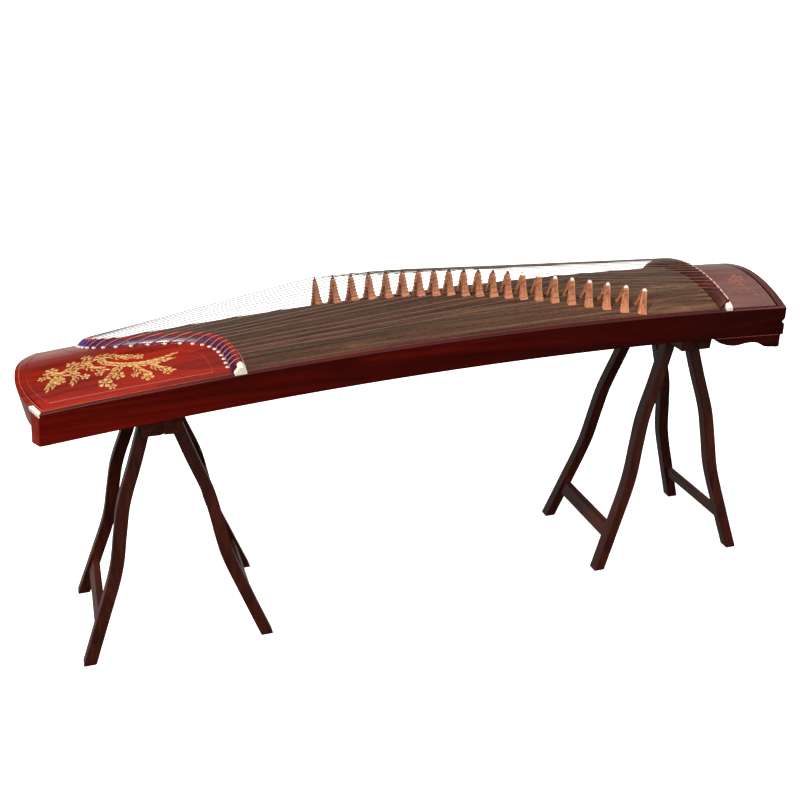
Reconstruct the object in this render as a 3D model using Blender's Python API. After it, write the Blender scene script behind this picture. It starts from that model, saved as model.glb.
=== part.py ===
"""Guzheng: a 21-string zither with movable bridges, standing on two folding trestle stands.

Metres, +Z up. +X runs along the instrument towards the head (the tuning end) and -Y is the
player's side. The origin is on the floor, under the middle of the object's bounding box.
The instrument is modelled in its own frame, an empty at the middle of its underside, which is
tipped a little because the head stand is the taller one.
"""

import math

import bmesh
import bpy
from mathutils import Matrix, Vector

# Driving dimensions of the instrument, in metres, in the instrument's own frame
HALF_LENGTH = 0.795          # from the middle to the head end, and to the tail's corners
TAIL_BULGE = 0.040           # how far the tail end bows out beyond its corners
TAIL_ROUNDNESS = 2.4         # power of the bow: higher is flatter in the middle
WIDTH = 0.318
HALF_WIDTH = WIDTH / 2
RAIL_HEIGHT = 0.063
RAIL_THICKNESS = 0.008
ARCH_DROP = 0.031            # how far both ends sink below the middle, along the length
CROWN_TAIL = 0.025           # rise of the soundboard's middle above its edges, at the tail
CROWN_HEAD = 0.045           # the same at the head
UNDERSIDE_HEIGHT = 0.569     # height of the underside above the floor at the middle
INSTRUMENT_X = 0.0204
TILT = math.radians(2.3)     # head up

# Boards and blocks
GAP = 0.0003                 # clearance between pieces that touch
BOARD_THICKNESS = 0.008
BOARD_RECESS = 0.0006        # the soundboard lies this far below the rails' rims
DECK_THICKNESS = 0.004
RAIL_CELLS = 44
DECK_CELLS = 4               # the deck and the board under it share one grid of cells
BOARD_CELLS = 14             # across the width
BOARD_LENGTH_CELLS = 13
UNDERSIDE_CELLS = 24
END_THICKNESS = 0.019
TAIL_END_THICKNESS = 0.014
TAIL_END_ARCH = 0.016        # how far the tail board's lower edge rises between its corners
TAIL_FOOT = 0.10             # each corner foot, as a share of the width
LID_THICKNESS = 0.005
PIN_BLOCK_DEPTH = 0.034      # from the lid's surface down to the pin block
NOTCH_DEPTH = 0.007          # V groove across the head end
NOTCH_HEIGHTS = (0.024, 0.031, 0.038)   # its lower edge, its bottom and its upper edge
HEAD_END_CELLS = 12
TAIL_END_CELLS = 20

# Skirt under the head end of each side rail: distance from its start, depth below the rail
SKIRT_START = 0.613
SKIRT_OUTLINE = ((0.0, 0.0), (0.020, 0.012), (0.055, 0.020), (0.092, 0.0155),
                 (0.115, 0.017), (0.138, 0.0275), (0.182, 0.029))

# Strings, bridges and nuts
STRING_COUNT = 21
STRING_SPACING = 0.0131
FIRST_STRING_Y = -0.131      # the string nearest the player
STRING_RADIUS = 0.0005
STRING_CLEARANCE = 0.0016    # from the tail nut and the bridges to a string's middle
STRING_TUCK = 0.003          # how far a string's end goes into its hole
STRING_DROP = 0.004          # fall between the head nut's crest and the lid's edge
STRING_UNDER_LID = 0.006
STRING_ON_PIN = 0.009        # height above the pin block at the tuning pin
NUT_X = 0.637                # crest of the head nut on the centre line
NUT_SLANT = -0.06            # change of the crest's X per metre of Y
NUT_HEIGHT = 0.018
NUT_BACK = 0.002
NUT_CELLS = 14               # across the width, also in the lid and the pin block
SADDLE_HALF_WIDTH = 0.0015
SADDLE_HEIGHT = 0.0022
# Distance from the crest and height: a sloping face, then the narrow level crest
NUT_PROFILE = ((-0.020, 0.0025), (-0.010, 0.0125), (-SADDLE_HALF_WIDTH, NUT_HEIGHT),
               (NUT_BACK, NUT_HEIGHT))
LID_SLOT = 0.0105            # from the crest to the lid, the strings go down in between
RIDGE_HALF_WIDTH = 0.011     # tail nut
RIDGE_HEIGHT = 0.013
RIDGE_CREST = 0.004          # its crest is this far towards the head from its middle
RIDGE_EDGE = 0.003           # height of its rounded top's edges
RIDGE_ROUNDNESS = 0.7        # power of its cosine profile: lower is flatter on top
RIDGE_CELLS = 34
RIDGE_FACETS = 5             # across its rounded top
RIDGE_ENDS = (-0.150, 0.128)
RIDGE_OFFSET = 0.020         # from the row of string holes to the tail nut's crest
EYELET_RADIUS = 0.0024
STRING_HOLE_DEPTH = 0.030    # of the drill, which runs right through the deck
# The row of string holes, an S in plan: its middle, its swing, and how sharply it turns
ROW_MIDDLE = (-0.582, 0.014)
ROW_SWING = -0.137
ROW_TURN = 0.055
BRIDGE_FIRST_X = 0.446
BRIDGE_STEP = -0.0327
BRIDGE_SWAY = -0.0148        # the row of bridges curves gently either side of a straight line
BRIDGE_LOW = 0.045
BRIDGE_HIGH = 0.062
BRIDGE_SPREADS = (0.0215, 0.0225)   # from the string to the outside of a foot, first and last
BRIDGE_MARGIN = 0.0026       # between the outermost feet and the soundboard's edge
BRIDGE_TURNS = (math.radians(-9), math.radians(12))     # how askew the first and last stand
BRIDGE_LEANS = (0.0065, -0.0020)    # how far their tips stand towards the head from their feet
BRIDGE_FOOT = 0.019          # thickness along the string, at the feet
BRIDGE_TIP = 0.0065
# Right half of a bridge's outline, as shares of its spread and height: outside, then inside
BRIDGE_OUTSIDE = ((0.15, 1.0), (0.30, 0.80), (0.46, 0.50), (0.68, 0.22), (1.0, 0.0))
BRIDGE_INSIDE = ((0.55, 0.0), (0.26, 0.30))
BRIDGE_CROTCH = (0.0, 0.42)

# Tuning pins
PIN_RADIUS = 0.0025
PIN_HEAD_RADIUS = 0.0019
PIN_ABOVE = 0.018
PIN_HEAD = 0.007
PIN_BELOW = 0.020
PIN_FIRST_X = 0.680
PIN_ROW_STEP = 0.026
PIN_ROWS = 3
PIN_SIDES = 6

# Stands
TAIL_STAND = (-0.559, -0.009)
HEAD_STAND = (0.610, 0.008)
STAND_HEIGHT = 0.530         # the height that the leg's outline is drawn for
BAR_HALF_LENGTH = 0.142
BAR_WIDTH = 0.039
BAR_FOOT_WIDTH = 0.0365
BAR_HEIGHT = 0.032
LEG_WIDTH = 0.0262
LEG_DEPTH = 0.0262
LEG_FOOT_Y = 0.1465          # outer face of a leg at the floor
LEG_TOP_Y = 0.0865           # outer face of a leg under the bar
LEG_OUTLINE = ((0.0, 0.183), (0.10, 0.146), (0.20, 0.111), (0.28, 0.0955),
               (0.34, 0.083), (0.42, 0.0545), (0.505, 0.0265))
LEG_CELLS = 14
STRETCHER_HEIGHT = 0.080
STRETCHER_SIZE = (0.015, 0.028)
HINGE_RADIUS = 0.0022
HINGE_GROOVE = 0.0040
HINGE_HALF_LENGTH = 0.134
HINGE_SIDES = 10

# Underside
SOUND_HOLE_SIDES = 40
RIB_CELLS = 10
SOUND_HOLES = ((-0.36, 0.075, 0.034), (0.16, 0.095, 0.040))   # centre X, half length, half width
RIB_POSITIONS = (-0.10, 0.38)
RIB_THICKNESS = 0.010
RIB_CLEARANCE = 0.0010       # glue line between a rib and the soundboard

COLORS = {
    "rosewood_red": ((0.30, 0.020, 0.010), 0.22, 0.0),
    "rosewood_dark": ((0.085, 0.010, 0.007), 0.25, 0.0),
    "paulownia": ((0.105, 0.050, 0.030), 0.62, 0.0),
    "lid_wood": ((0.19, 0.055, 0.042), 0.40, 0.0),
    "spruce_inside": ((0.50, 0.33, 0.18), 0.70, 0.0),
    "bridge_wood": ((0.52, 0.22, 0.12), 0.45, 0.0),
    "stand_wood": ((0.055, 0.014, 0.009), 0.35, 0.0),
    "string_steel": ((0.62, 0.62, 0.60), 0.30, 1.0),
    "pin_steel": ((0.55, 0.55, 0.56), 0.28, 1.0),
    "hinge_brass": ((0.55, 0.38, 0.14), 0.35, 1.0),
}


# ---------------------------------------------------------------- the instrument's surfaces

def smooth_path(points, at):
    """Value at a place along a list of (place, value) points, as a smooth curve through them."""
    last = len(points) - 1
    for index in range(last):
        (place_a, value_a), (place_b, value_b) = points[index], points[index + 1]
        if at <= place_b or index == last - 1:
            before = points[max(index - 1, 0)]
            after = points[min(index + 2, last)]
            slope_a = (value_b - before[1]) / (place_b - before[0])
            slope_b = (after[1] - value_a) / (after[0] - place_a)
            span = place_b - place_a
            t = min(max((at - place_a) / span, 0.0), 1.0)
            rise = t * t * (3 - 2 * t)
            return (value_a + (value_b - value_a) * rise
                    + slope_a * span * t * (1 - t) ** 2
                    - slope_b * span * t * t * (1 - t))


def arch(x):
    """Height of the underside along the length: highest in the middle."""
    return -ARCH_DROP * (x / HALF_LENGTH) ** 2


def board_top(x, y):
    """Height of the instrument's top surface."""
    crown = CROWN_TAIL + (CROWN_HEAD - CROWN_TAIL) * (x / HALF_LENGTH + 1) / 2
    return RAIL_HEIGHT + arch(x) + crown * (1 - (y / HALF_WIDTH) ** 2)


def rail_bottom(x):
    """Lower edge of a side rail, with the scalloped skirt at its head end."""
    return arch(x) - smooth_path(SKIRT_OUTLINE, max(x - SKIRT_START, 0.0))


def tail_outside(y):
    """Plan outline of the tail end."""
    return -HALF_LENGTH - TAIL_BULGE * (1 - abs(y / HALF_WIDTH) ** TAIL_ROUNDNESS)


def hole_row(y):
    """X of the row of string holes in the tail deck, an S in plan."""
    return ROW_MIDDLE[0] + ROW_SWING * math.tanh((y - ROW_MIDDLE[1]) / ROW_TURN)


def ridge_point(y, across):
    """Plan point of the tail nut, which runs beside the row of holes."""
    step = 0.0005
    slope = (hole_row(y + step) - hole_row(y - step)) / (2 * step)
    length = math.hypot(1, slope)
    offset = RIDGE_OFFSET + across
    return hole_row(y) + offset / length, y - offset * slope / length


def solve_rising(function, wanted):
    """The Y at which a function that rises with Y has the wanted value."""
    low, high = -0.30, 0.30
    for _ in range(40):
        middle = (low + high) / 2
        if function(middle) < wanted:
            low = middle
        else:
            high = middle
    return low


def ridge_x(y, across=0.0):
    """X where the tail nut's crest, or a line beside it, crosses a given Y."""
    return ridge_point(solve_rising(lambda row: ridge_point(row, across)[1], y), across)[0]


def ridge_profile(across):
    """Height of the tail nut over its foot: a long slope up to the crest, then a steep fall."""
    reach = RIDGE_HALF_WIDTH + math.copysign(RIDGE_CREST, RIDGE_CREST - across)
    swell = math.cos(math.pi / 2 * (across - RIDGE_CREST) / reach)
    return RIDGE_EDGE + (RIDGE_HEIGHT - RIDGE_EDGE) * max(swell, 0.0) ** RIDGE_ROUNDNESS


def along_row(t):
    """Y at a fraction t of the way along the S, in steps of about equal length."""
    first, last = (y - hole_row(y) for y in RIDGE_ENDS)
    return solve_rising(lambda y: y - hole_row(y), lerp(first, last, t))


def nut_crest(y):
    return NUT_X + NUT_SLANT * y


def string_y(number):
    return FIRST_STRING_Y + STRING_SPACING * number


def bridge_x(number):
    turn = 2 * math.pi * number / (STRING_COUNT - 1)
    return BRIDGE_FIRST_X + BRIDGE_STEP * number + BRIDGE_SWAY * math.sin(turn)


def bridge_height(number):
    return BRIDGE_LOW + (BRIDGE_HIGH - BRIDGE_LOW) * number / (STRING_COUNT - 1)


def bridge_spread(number):
    """Half the width of a bridge's stance. The outermost ones stand closer, inside the board."""
    room = HALF_WIDTH - RAIL_THICKNESS - BRIDGE_MARGIN - abs(string_y(number))
    return min(lerp(*BRIDGE_SPREADS, number / (STRING_COUNT - 1)), room)


def pin_x(number):
    return PIN_FIRST_X + PIN_ROW_STEP * (number % PIN_ROWS)


def block_top(x, y):
    return board_top(x, y) - PIN_BLOCK_DEPTH


def lerp(a, b, t):
    return a + (b - a) * t


# ---------------------------------------------------------------- building blocks

def clear_scene():
    for obj in list(bpy.data.objects):
        bpy.data.objects.remove(obj, do_unlink=True)


def new_collection(name):
    collection = bpy.data.collections.new(name)
    bpy.context.scene.collection.children.link(collection)
    return collection


def make_material(name):
    color, roughness, metallic = COLORS[name]
    material = bpy.data.materials.new(name)
    material.use_nodes = True
    shader = material.node_tree.nodes["Principled BSDF"]
    shader.inputs["Base Color"].default_value = (*color, 1)
    shader.inputs["Roughness"].default_value = roughness
    shader.inputs["Metallic"].default_value = metallic
    return material


def add_object(name, mesh, collection, material, parent=None, location=(0, 0, 0)):
    obj = bpy.data.objects.new(name, mesh)
    collection.objects.link(obj)
    if material:
        mesh.materials.append(material)
    obj.parent = parent
    obj.location = location
    return obj


def add_guide(name, mesh, parent=None, location=(0, 0, 0)):
    """A cutter, or a shape that a Boolean joins to a piece. It isn't a piece itself."""
    obj = add_object(name, mesh, CUTTERS, None, parent, location)
    obj.hide_render = True
    obj.display_type = "WIRE"
    return obj


def shaped_mesh(name, cuts, place):
    """A cube cut into cells along its three directions, each corner moved to place(u, v, w)."""
    bm = bmesh.new()
    bmesh.ops.create_cube(bm, size=1.0, matrix=Matrix.Translation((0.5, 0.5, 0.5)))
    for axis, count in enumerate(cuts):
        normal = Vector((0, 0, 0))
        normal[axis] = 1
        for step in range(1, count):
            everything = bm.verts[:] + bm.edges[:] + bm.faces[:]
            bmesh.ops.bisect_plane(bm, geom=everything, plane_co=normal * (step / count),
                                   plane_no=normal)
    for vert in bm.verts:
        vert.co = place(*vert.co)
    if bm.calc_volume(signed=True) < 0:
        bmesh.ops.reverse_faces(bm, faces=bm.faces[:])
    mesh = bpy.data.meshes.new(name)
    bm.to_mesh(mesh)
    bm.free()
    return mesh


def cylinder_mesh(name, radius, length, sides, matrix=None):
    """A cylinder standing on its origin, along +Z unless a matrix turns it."""
    bm = bmesh.new()
    stand = Matrix.Translation((0, 0, length / 2))
    bmesh.ops.create_cone(bm, cap_ends=True, segments=sides, radius1=radius, radius2=radius,
                          depth=length, matrix=(matrix or Matrix()) @ stand)
    mesh = bpy.data.meshes.new(name)
    bm.to_mesh(mesh)
    bm.free()
    return mesh


def joined_mesh(name, meshes_and_places):
    """Several meshes, each moved to its place, as one mesh of separate shells."""
    bm = bmesh.new()
    for mesh, place in meshes_and_places:
        start = len(bm.verts)
        bm.from_mesh(mesh)
        bm.verts.ensure_lookup_table()
        bmesh.ops.translate(bm, verts=bm.verts[start:], vec=place)
    joined = bpy.data.meshes.new(name)
    bm.to_mesh(joined)
    bm.free()
    return joined


def add_boolean(obj, guide, operation):
    modifier = obj.modifiers.new(guide.name, "BOOLEAN")
    modifier.operation = operation
    modifier.solver = "EXACT"
    modifier.object = guide


def curve_to_mesh(curve_object):
    """The mesh of a curve object, caps welded. The curve is removed."""
    bpy.context.view_layer.update()
    depsgraph = bpy.context.evaluated_depsgraph_get()
    mesh = bpy.data.meshes.new_from_object(curve_object.evaluated_get(depsgraph))
    bpy.data.objects.remove(curve_object, do_unlink=True)
    bm = bmesh.new()
    bm.from_mesh(mesh)
    bmesh.ops.remove_doubles(bm, verts=bm.verts[:], dist=0.00001)
    bm.to_mesh(mesh)
    bm.free()
    return mesh


# ---------------------------------------------------------------- the soundbox

def make_side_rail(name, side, material):
    outer = side * HALF_WIDTH
    inner = side * (HALF_WIDTH - RAIL_THICKNESS)

    def place(u, v, w):
        x = lerp(-HALF_LENGTH + TAIL_END_THICKNESS + GAP, HALF_LENGTH - END_THICKNESS - GAP, u)
        y = lerp(outer, inner, v)
        return x, y, lerp(rail_bottom(x), board_top(x, y), w)

    mesh = shaped_mesh(name, (RAIL_CELLS, 1, 1), place)
    return add_object(name, mesh, PARTS, material, INSTRUMENT)


def make_soundboard(material):
    """It steps down under the tail deck, along the S line where the deck ends."""
    half = HALF_WIDTH - RAIL_THICKNESS - GAP
    cells = DECK_CELLS + BOARD_LENGTH_CELLS
    start = -HALF_LENGTH + TAIL_END_THICKNESS + GAP

    def place(u, v, w):
        y = lerp(-half, half, v)
        cell = round(u * cells)
        if cell <= DECK_CELLS:
            x = lerp(start, ridge_x(y), cell / DECK_CELLS)
            sink = DECK_THICKNESS + GAP
        else:
            along = (cell - DECK_CELLS - 1) / (cells - DECK_CELLS - 1)
            x = lerp(ridge_x(y) + GAP, nut_crest(y) + NUT_BACK, along)
            sink = BOARD_RECESS
        top = board_top(x, y)
        return x, y, lerp(top - DECK_THICKNESS - BOARD_THICKNESS, top - sink, w)

    mesh = shaped_mesh("soundboard", (cells, BOARD_CELLS, 1), place)
    return add_object("soundboard", mesh, PARTS, material, INSTRUMENT)


def make_bottom_board(material):
    """The underside, with two oval sound holes, and the two cross ribs glued to it."""
    half = HALF_WIDTH - RAIL_THICKNESS - GAP
    start = -HALF_LENGTH + TAIL_END_THICKNESS + GAP
    end = HALF_LENGTH - END_THICKNESS - GAP

    def place(u, v, w):
        x = lerp(start, end, u)
        return x, lerp(-half, half, v), arch(x) + w * BOARD_THICKNESS

    mesh = shaped_mesh("bottom_board", (UNDERSIDE_CELLS, 1, 1), place)
    board = add_object("bottom_board", mesh, PARTS, material, INSTRUMENT)
    for number, centre in enumerate(RIB_POSITIONS):

        def place_rib(u, v, w, centre=centre):
            x = centre + (u - 0.5) * RIB_THICKNESS
            y = lerp(-half, half, v)
            top = board_top(x, y) - DECK_THICKNESS - BOARD_THICKNESS - RIB_CLEARANCE
            return x, y, lerp(arch(x) + BOARD_THICKNESS / 2, top, w)

        name = f"rib_{number + 1}"
        mesh = shaped_mesh(name, (1, RIB_CELLS, 1), place_rib)
        add_boolean(board, add_guide(name, mesh, INSTRUMENT), "UNION")
    for number, (x, half_length, half_width) in enumerate(SOUND_HOLES):
        name = f"sound_hole_{number + 1}"
        depth = 4 * BOARD_THICKNESS
        oval = Matrix.Diagonal((half_length, half_width, 1, 1))
        sunk = oval @ Matrix.Translation((0, 0, -depth / 2))
        hole = cylinder_mesh(name, 1.0, depth, SOUND_HOLE_SIDES, sunk)
        add_boolean(board, add_guide(name, hole, INSTRUMENT, (x, 0, 0)), "DIFFERENCE")
    return board


def make_tail_end(material):
    """The bowed end board, with an arched lower edge between its two corner feet."""
    inside = -HALF_LENGTH + TAIL_END_THICKNESS

    def place(u, v, w):
        y = lerp(-HALF_WIDTH, HALF_WIDTH, v)
        x = lerp(tail_outside(y), inside, u)
        rise = TAIL_END_ARCH * (1 - abs(y / HALF_WIDTH) ** 4)
        if abs(v - 0.5) >= 0.5 - TAIL_FOOT:
            rise = 0
        return x, y, lerp(arch(-HALF_LENGTH) + rise, board_top(x, y), w)

    mesh = shaped_mesh("tail_end_board", (1, TAIL_END_CELLS, 1), place)
    return add_object("tail_end_board", mesh, PARTS, material, INSTRUMENT)


def make_head_end(material):
    """The head end board. A V groove runs across its outside at mid height."""
    low_edge, bottom, high_edge = NOTCH_HEIGHTS
    set_back = (True, True, False, False, True, False, False)

    def place(u, v, w):
        y = lerp(-HALF_WIDTH, HALF_WIDTH, v)
        x = lerp(HALF_LENGTH - END_THICKNESS, HALF_LENGTH, u)
        base = arch(x)
        heights = (rail_bottom(HALF_LENGTH), base, base + GAP, base + low_edge, base + bottom,
                   base + high_edge, board_top(x, y))
        level = round(w * (len(heights) - 1))
        return x - u * NOTCH_DEPTH * set_back[level], y, heights[level]

    mesh = shaped_mesh("head_end_board", (1, HEAD_END_CELLS, len(set_back) - 1), place)
    return add_object("head_end_board", mesh, PARTS, material, INSTRUMENT)


def make_tail_deck(material):
    """The polished panel over the tail, with a hole for each string."""
    half = HALF_WIDTH - RAIL_THICKNESS - GAP
    start = -HALF_LENGTH + TAIL_END_THICKNESS + GAP

    def place(u, v, w):
        y = lerp(-half, half, v)
        x = lerp(start, ridge_x(y) - GAP, u)
        top = board_top(x, y)
        return x, y, lerp(top - DECK_THICKNESS, top, w)

    mesh = shaped_mesh("tail_deck", (DECK_CELLS, BOARD_CELLS, 1), place)
    deck = add_object("tail_deck", mesh, PARTS, material, INSTRUMENT)
    drill = cylinder_mesh("string_drill", EYELET_RADIUS, STRING_HOLE_DEPTH, PIN_SIDES)
    places = []
    for number in range(STRING_COUNT):
        y = string_y(number)
        x = hole_row(y)
        places.append((drill, (x, y, board_top(x, y) - STRING_HOLE_DEPTH / 2)))
    holes = add_guide("string_holes", joined_mesh("string_holes", places), INSTRUMENT)
    add_boolean(deck, holes, "DIFFERENCE")
    return deck


def make_tail_nut(material):
    """The S-shaped ridge that the strings climb over at the tail."""
    reach = HALF_WIDTH - RAIL_THICKNESS - 0.001

    def place(u, v, w):
        across = lerp(-RIDGE_HALF_WIDTH, RIDGE_HALF_WIDTH, u)
        x, y = ridge_point(along_row(v), across)
        y = min(max(y, -reach), reach)
        return x, y, board_top(x, y) + GAP + w * ridge_profile(across)

    mesh = shaped_mesh("tail_nut", (RIDGE_FACETS, RIDGE_CELLS, 1), place)
    return add_object("tail_nut", mesh, PARTS, material, INSTRUMENT)


def make_head_nut(material):
    """The ridge at the head: a sloping face towards the strings and a steep back."""
    half = HALF_WIDTH - RAIL_THICKNESS - 0.001

    def place(u, v, w):
        y = lerp(-half, half, v)
        across, height = NUT_PROFILE[round(u * (len(NUT_PROFILE) - 1))]
        x = nut_crest(y) + across
        return x, y, board_top(x, y) + GAP + w * height

    mesh = shaped_mesh("head_nut", (len(NUT_PROFILE) - 1, NUT_CELLS, 1), place)
    return add_object("head_nut", mesh, PARTS, material, INSTRUMENT)


def make_pin_block(material):
    """The solid block under the lid that holds the tuning pins."""
    half = HALF_WIDTH - RAIL_THICKNESS - GAP
    end = HALF_LENGTH - END_THICKNESS - GAP

    def place(u, v, w):
        y = lerp(-half, half, v)
        x = lerp(nut_crest(y) + LID_SLOT, end, u)
        return x, y, lerp(arch(x) + BOARD_THICKNESS + GAP, block_top(x, y), w)

    mesh = shaped_mesh("pin_block", (2, NUT_CELLS, 1), place)
    block = add_object("pin_block", mesh, PARTS, material, INSTRUMENT)
    hole_radius = (PIN_RADIUS + GAP) / math.cos(math.pi / PIN_SIDES)
    drill = cylinder_mesh("pin_drill", hole_radius, 2 * PIN_BELOW, PIN_SIDES)
    places = []
    for number in range(STRING_COUNT):
        x, y = pin_x(number), string_y(number)
        places.append((drill, (x, y, block_top(x, y) - PIN_BELOW - GAP)))
    holes = add_guide("pin_holes", joined_mesh("pin_holes", places), INSTRUMENT)
    add_boolean(block, holes, "DIFFERENCE")
    return block


def make_lid(material):
    """The curved lid over the tuning pins. It lifts off."""
    half = HALF_WIDTH - RAIL_THICKNESS - GAP
    end = HALF_LENGTH - END_THICKNESS - GAP

    def place(u, v, w):
        y = lerp(-half, half, v)
        x = lerp(nut_crest(y) + LID_SLOT, end, u)
        top = board_top(x, y)
        return x, y, lerp(top - LID_THICKNESS, top, w)

    mesh = shaped_mesh("tuning_box_lid", (2, NUT_CELLS, 1), place)
    return add_object("tuning_box_lid", mesh, PARTS, material, INSTRUMENT)


# ---------------------------------------------------------------- strings, bridges and pins

def ridge_rest(y, facet):
    """Where a string lies on the tail nut, on one of the edges between the top's facets."""
    across = facet * RIDGE_HALF_WIDTH / RIDGE_FACETS
    x = ridge_x(y, across)
    return x, y, board_top(x, y) + ridge_profile(across) + STRING_CLEARANCE


def string_route(number):
    """One string: up from its hole, over tail nut, bridge and head nut, and down to its pin."""
    y = string_y(number)
    lift = STRING_RADIUS + GAP
    hole_x, top_x = hole_row(y), bridge_x(number)
    crest_x, tuning_x = nut_crest(y), pin_x(number)
    saddle_z = board_top(crest_x, y) + NUT_HEIGHT + SADDLE_HEIGHT + GAP
    slot_x = crest_x + (NUT_BACK + LID_SLOT) / 2
    return (
        (hole_x, y, board_top(hole_x, y) - STRING_TUCK),
        (hole_x, y, board_top(hole_x, y) + 2 * STRING_RADIUS),
        *(ridge_rest(y, facet) for facet in (-3, -1, 1)),
        (top_x, y, board_top(top_x, y) + bridge_height(number) + STRING_CLEARANCE),
        (crest_x, y, saddle_z),
        (slot_x, y, saddle_z - STRING_DROP),
        (slot_x, y, board_top(slot_x, y) - LID_THICKNESS - STRING_UNDER_LID),
        (tuning_x - PIN_RADIUS - 2 * lift, y, block_top(tuning_x, y) + STRING_ON_PIN),
    )


def make_strings(material):
    """The strings and the bone saddle that they cross on the head nut, as one piece."""
    curve = bpy.data.curves.new("string_routes", "CURVE")
    curve.dimensions = "3D"
    curve.bevel_depth = STRING_RADIUS
    curve.bevel_resolution = 0
    curve.use_fill_caps = True
    for number in range(STRING_COUNT):
        route = string_route(number)
        spline = curve.splines.new("POLY")
        spline.points.add(len(route) - 1)
        for point, place in zip(spline.points, route):
            point.co = (*place, 1)
    routes = bpy.data.objects.new("string_routes", curve)
    CUTTERS.objects.link(routes)
    strings = add_object("strings", curve_to_mesh(routes), PARTS, material, INSTRUMENT)
    half = HALF_WIDTH - RAIL_THICKNESS - 0.003

    def place(u, v, w):
        y = lerp(-half, half, v)
        x = nut_crest(y) + lerp(-SADDLE_HALF_WIDTH, SADDLE_HALF_WIDTH, u)
        bottom = board_top(nut_crest(y), y) + NUT_HEIGHT + 2 * GAP
        return x, y, bottom + w * SADDLE_HEIGHT

    mesh = shaped_mesh("head_saddle", (1, NUT_CELLS, 1), place)
    add_boolean(strings, add_guide("head_saddle", mesh, INSTRUMENT), "UNION")
    return strings


def bridge_mesh(name, height, spread):
    """An A-shaped bridge: a flat outline across the strings, thinner towards its tip."""
    half = (*BRIDGE_OUTSIDE, *BRIDGE_INSIDE)
    mirrored = [(-across, up) for across, up in reversed(half)]
    outline = (*half, BRIDGE_CROTCH, *mirrored)
    curve = bpy.data.curves.new(name, "CURVE")
    curve.dimensions = "2D"
    curve.fill_mode = "BOTH"
    curve.extrude = BRIDGE_FOOT / 2
    spline = curve.splines.new("POLY")
    spline.points.add(len(outline) - 1)
    for point, (across, up) in zip(spline.points, outline):
        point.co = (across * spread, up * height, 0, 1)
    spline.use_cyclic_u = True
    outline_object = bpy.data.objects.new(name, curve)
    CUTTERS.objects.link(outline_object)
    mesh = curve_to_mesh(outline_object)
    for vert in mesh.vertices:
        across, up, along = vert.co
        vert.co = (along * lerp(1.0, BRIDGE_TIP / BRIDGE_FOOT, up / height), across, up)
    return mesh


def make_bridge(number, material):
    """It stands a little askew on the soundboard, its feet cut to the slope, and can slide."""
    name = f"bridge_{number + 1:02d}"
    height = bridge_height(number)
    x, y = bridge_x(number), string_y(number)
    mesh = bridge_mesh(name, height, bridge_spread(number))
    base = board_top(x, y)
    share = number / (STRING_COUNT - 1)
    turn, lean = lerp(*BRIDGE_TURNS, share), lerp(*BRIDGE_LEANS, share)
    for vert in mesh.vertices:
        along, across, up = vert.co
        vert.co.x = (along * math.cos(turn) - across * math.sin(turn)
                     - lean * (1 - up / height))
        vert.co.y = along * math.sin(turn) + across * math.cos(turn)
        foot = 1 - min(vert.co.z / (BRIDGE_CROTCH[1] * height), 1.0)
        vert.co.z += foot * (board_top(x + vert.co.x, y + vert.co.y) - base) + GAP
    base -= BOARD_RECESS
    return add_object(name, mesh, PARTS, material, INSTRUMENT, (x, y, base))


def make_tuning_pin(number, material):
    """A steel pin with a narrower head for the tuning key. Its origin is on its axis."""
    name = f"tuning_pin_{number + 1:02d}"
    x, y = pin_x(number), string_y(number)
    bm = bmesh.new()
    shank = PIN_ABOVE - PIN_HEAD + PIN_BELOW
    bmesh.ops.create_cone(bm, cap_ends=True, segments=PIN_SIDES, radius1=PIN_RADIUS,
                          radius2=PIN_RADIUS, depth=shank,
                          matrix=Matrix.Translation((0, 0, shank / 2 - PIN_BELOW)))
    top = max(bm.faces, key=lambda face: face.calc_center_median().z)
    bmesh.ops.inset_region(bm, faces=[top], thickness=PIN_RADIUS - PIN_HEAD_RADIUS)
    head = bmesh.ops.extrude_face_region(bm, geom=[top])
    raised = [item for item in head["geom"] if isinstance(item, bmesh.types.BMVert)]
    bmesh.ops.translate(bm, verts=raised, vec=(0, 0, PIN_HEAD))
    bmesh.ops.delete(bm, geom=[top], context="FACES_ONLY")
    mesh = bpy.data.meshes.new(name)
    bm.to_mesh(mesh)
    bm.free()
    return add_object(name, mesh, PARTS, material, INSTRUMENT, (x, y, block_top(x, y)))


# ---------------------------------------------------------------- the stands

def leg_place(side_x, side_y, scale):
    """Where the corners of a leg's cells go: an S in side view, leaning in towards the top."""

    def place(u, v, w):
        z = w * LEG_OUTLINE[-1][0]
        centre = smooth_path(LEG_OUTLINE, z)
        outer = lerp(LEG_FOOT_Y, LEG_TOP_Y, z / LEG_OUTLINE[-1][0])
        x = side_x * (centre + (u - 0.5) * LEG_WIDTH)
        return x, side_y * (outer - v * LEG_DEPTH), z * scale

    return place


def stand_top(x, stand_x, stand_y):
    """Height of the instrument's underside above a point of a stand's bar, less the gap."""
    slope = math.tan(TILT)
    along = stand_x + x - INSTRUMENT_X
    return UNDERSIDE_HEIGHT + along * slope + arch(along) / math.cos(TILT) - 2 * GAP


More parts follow.
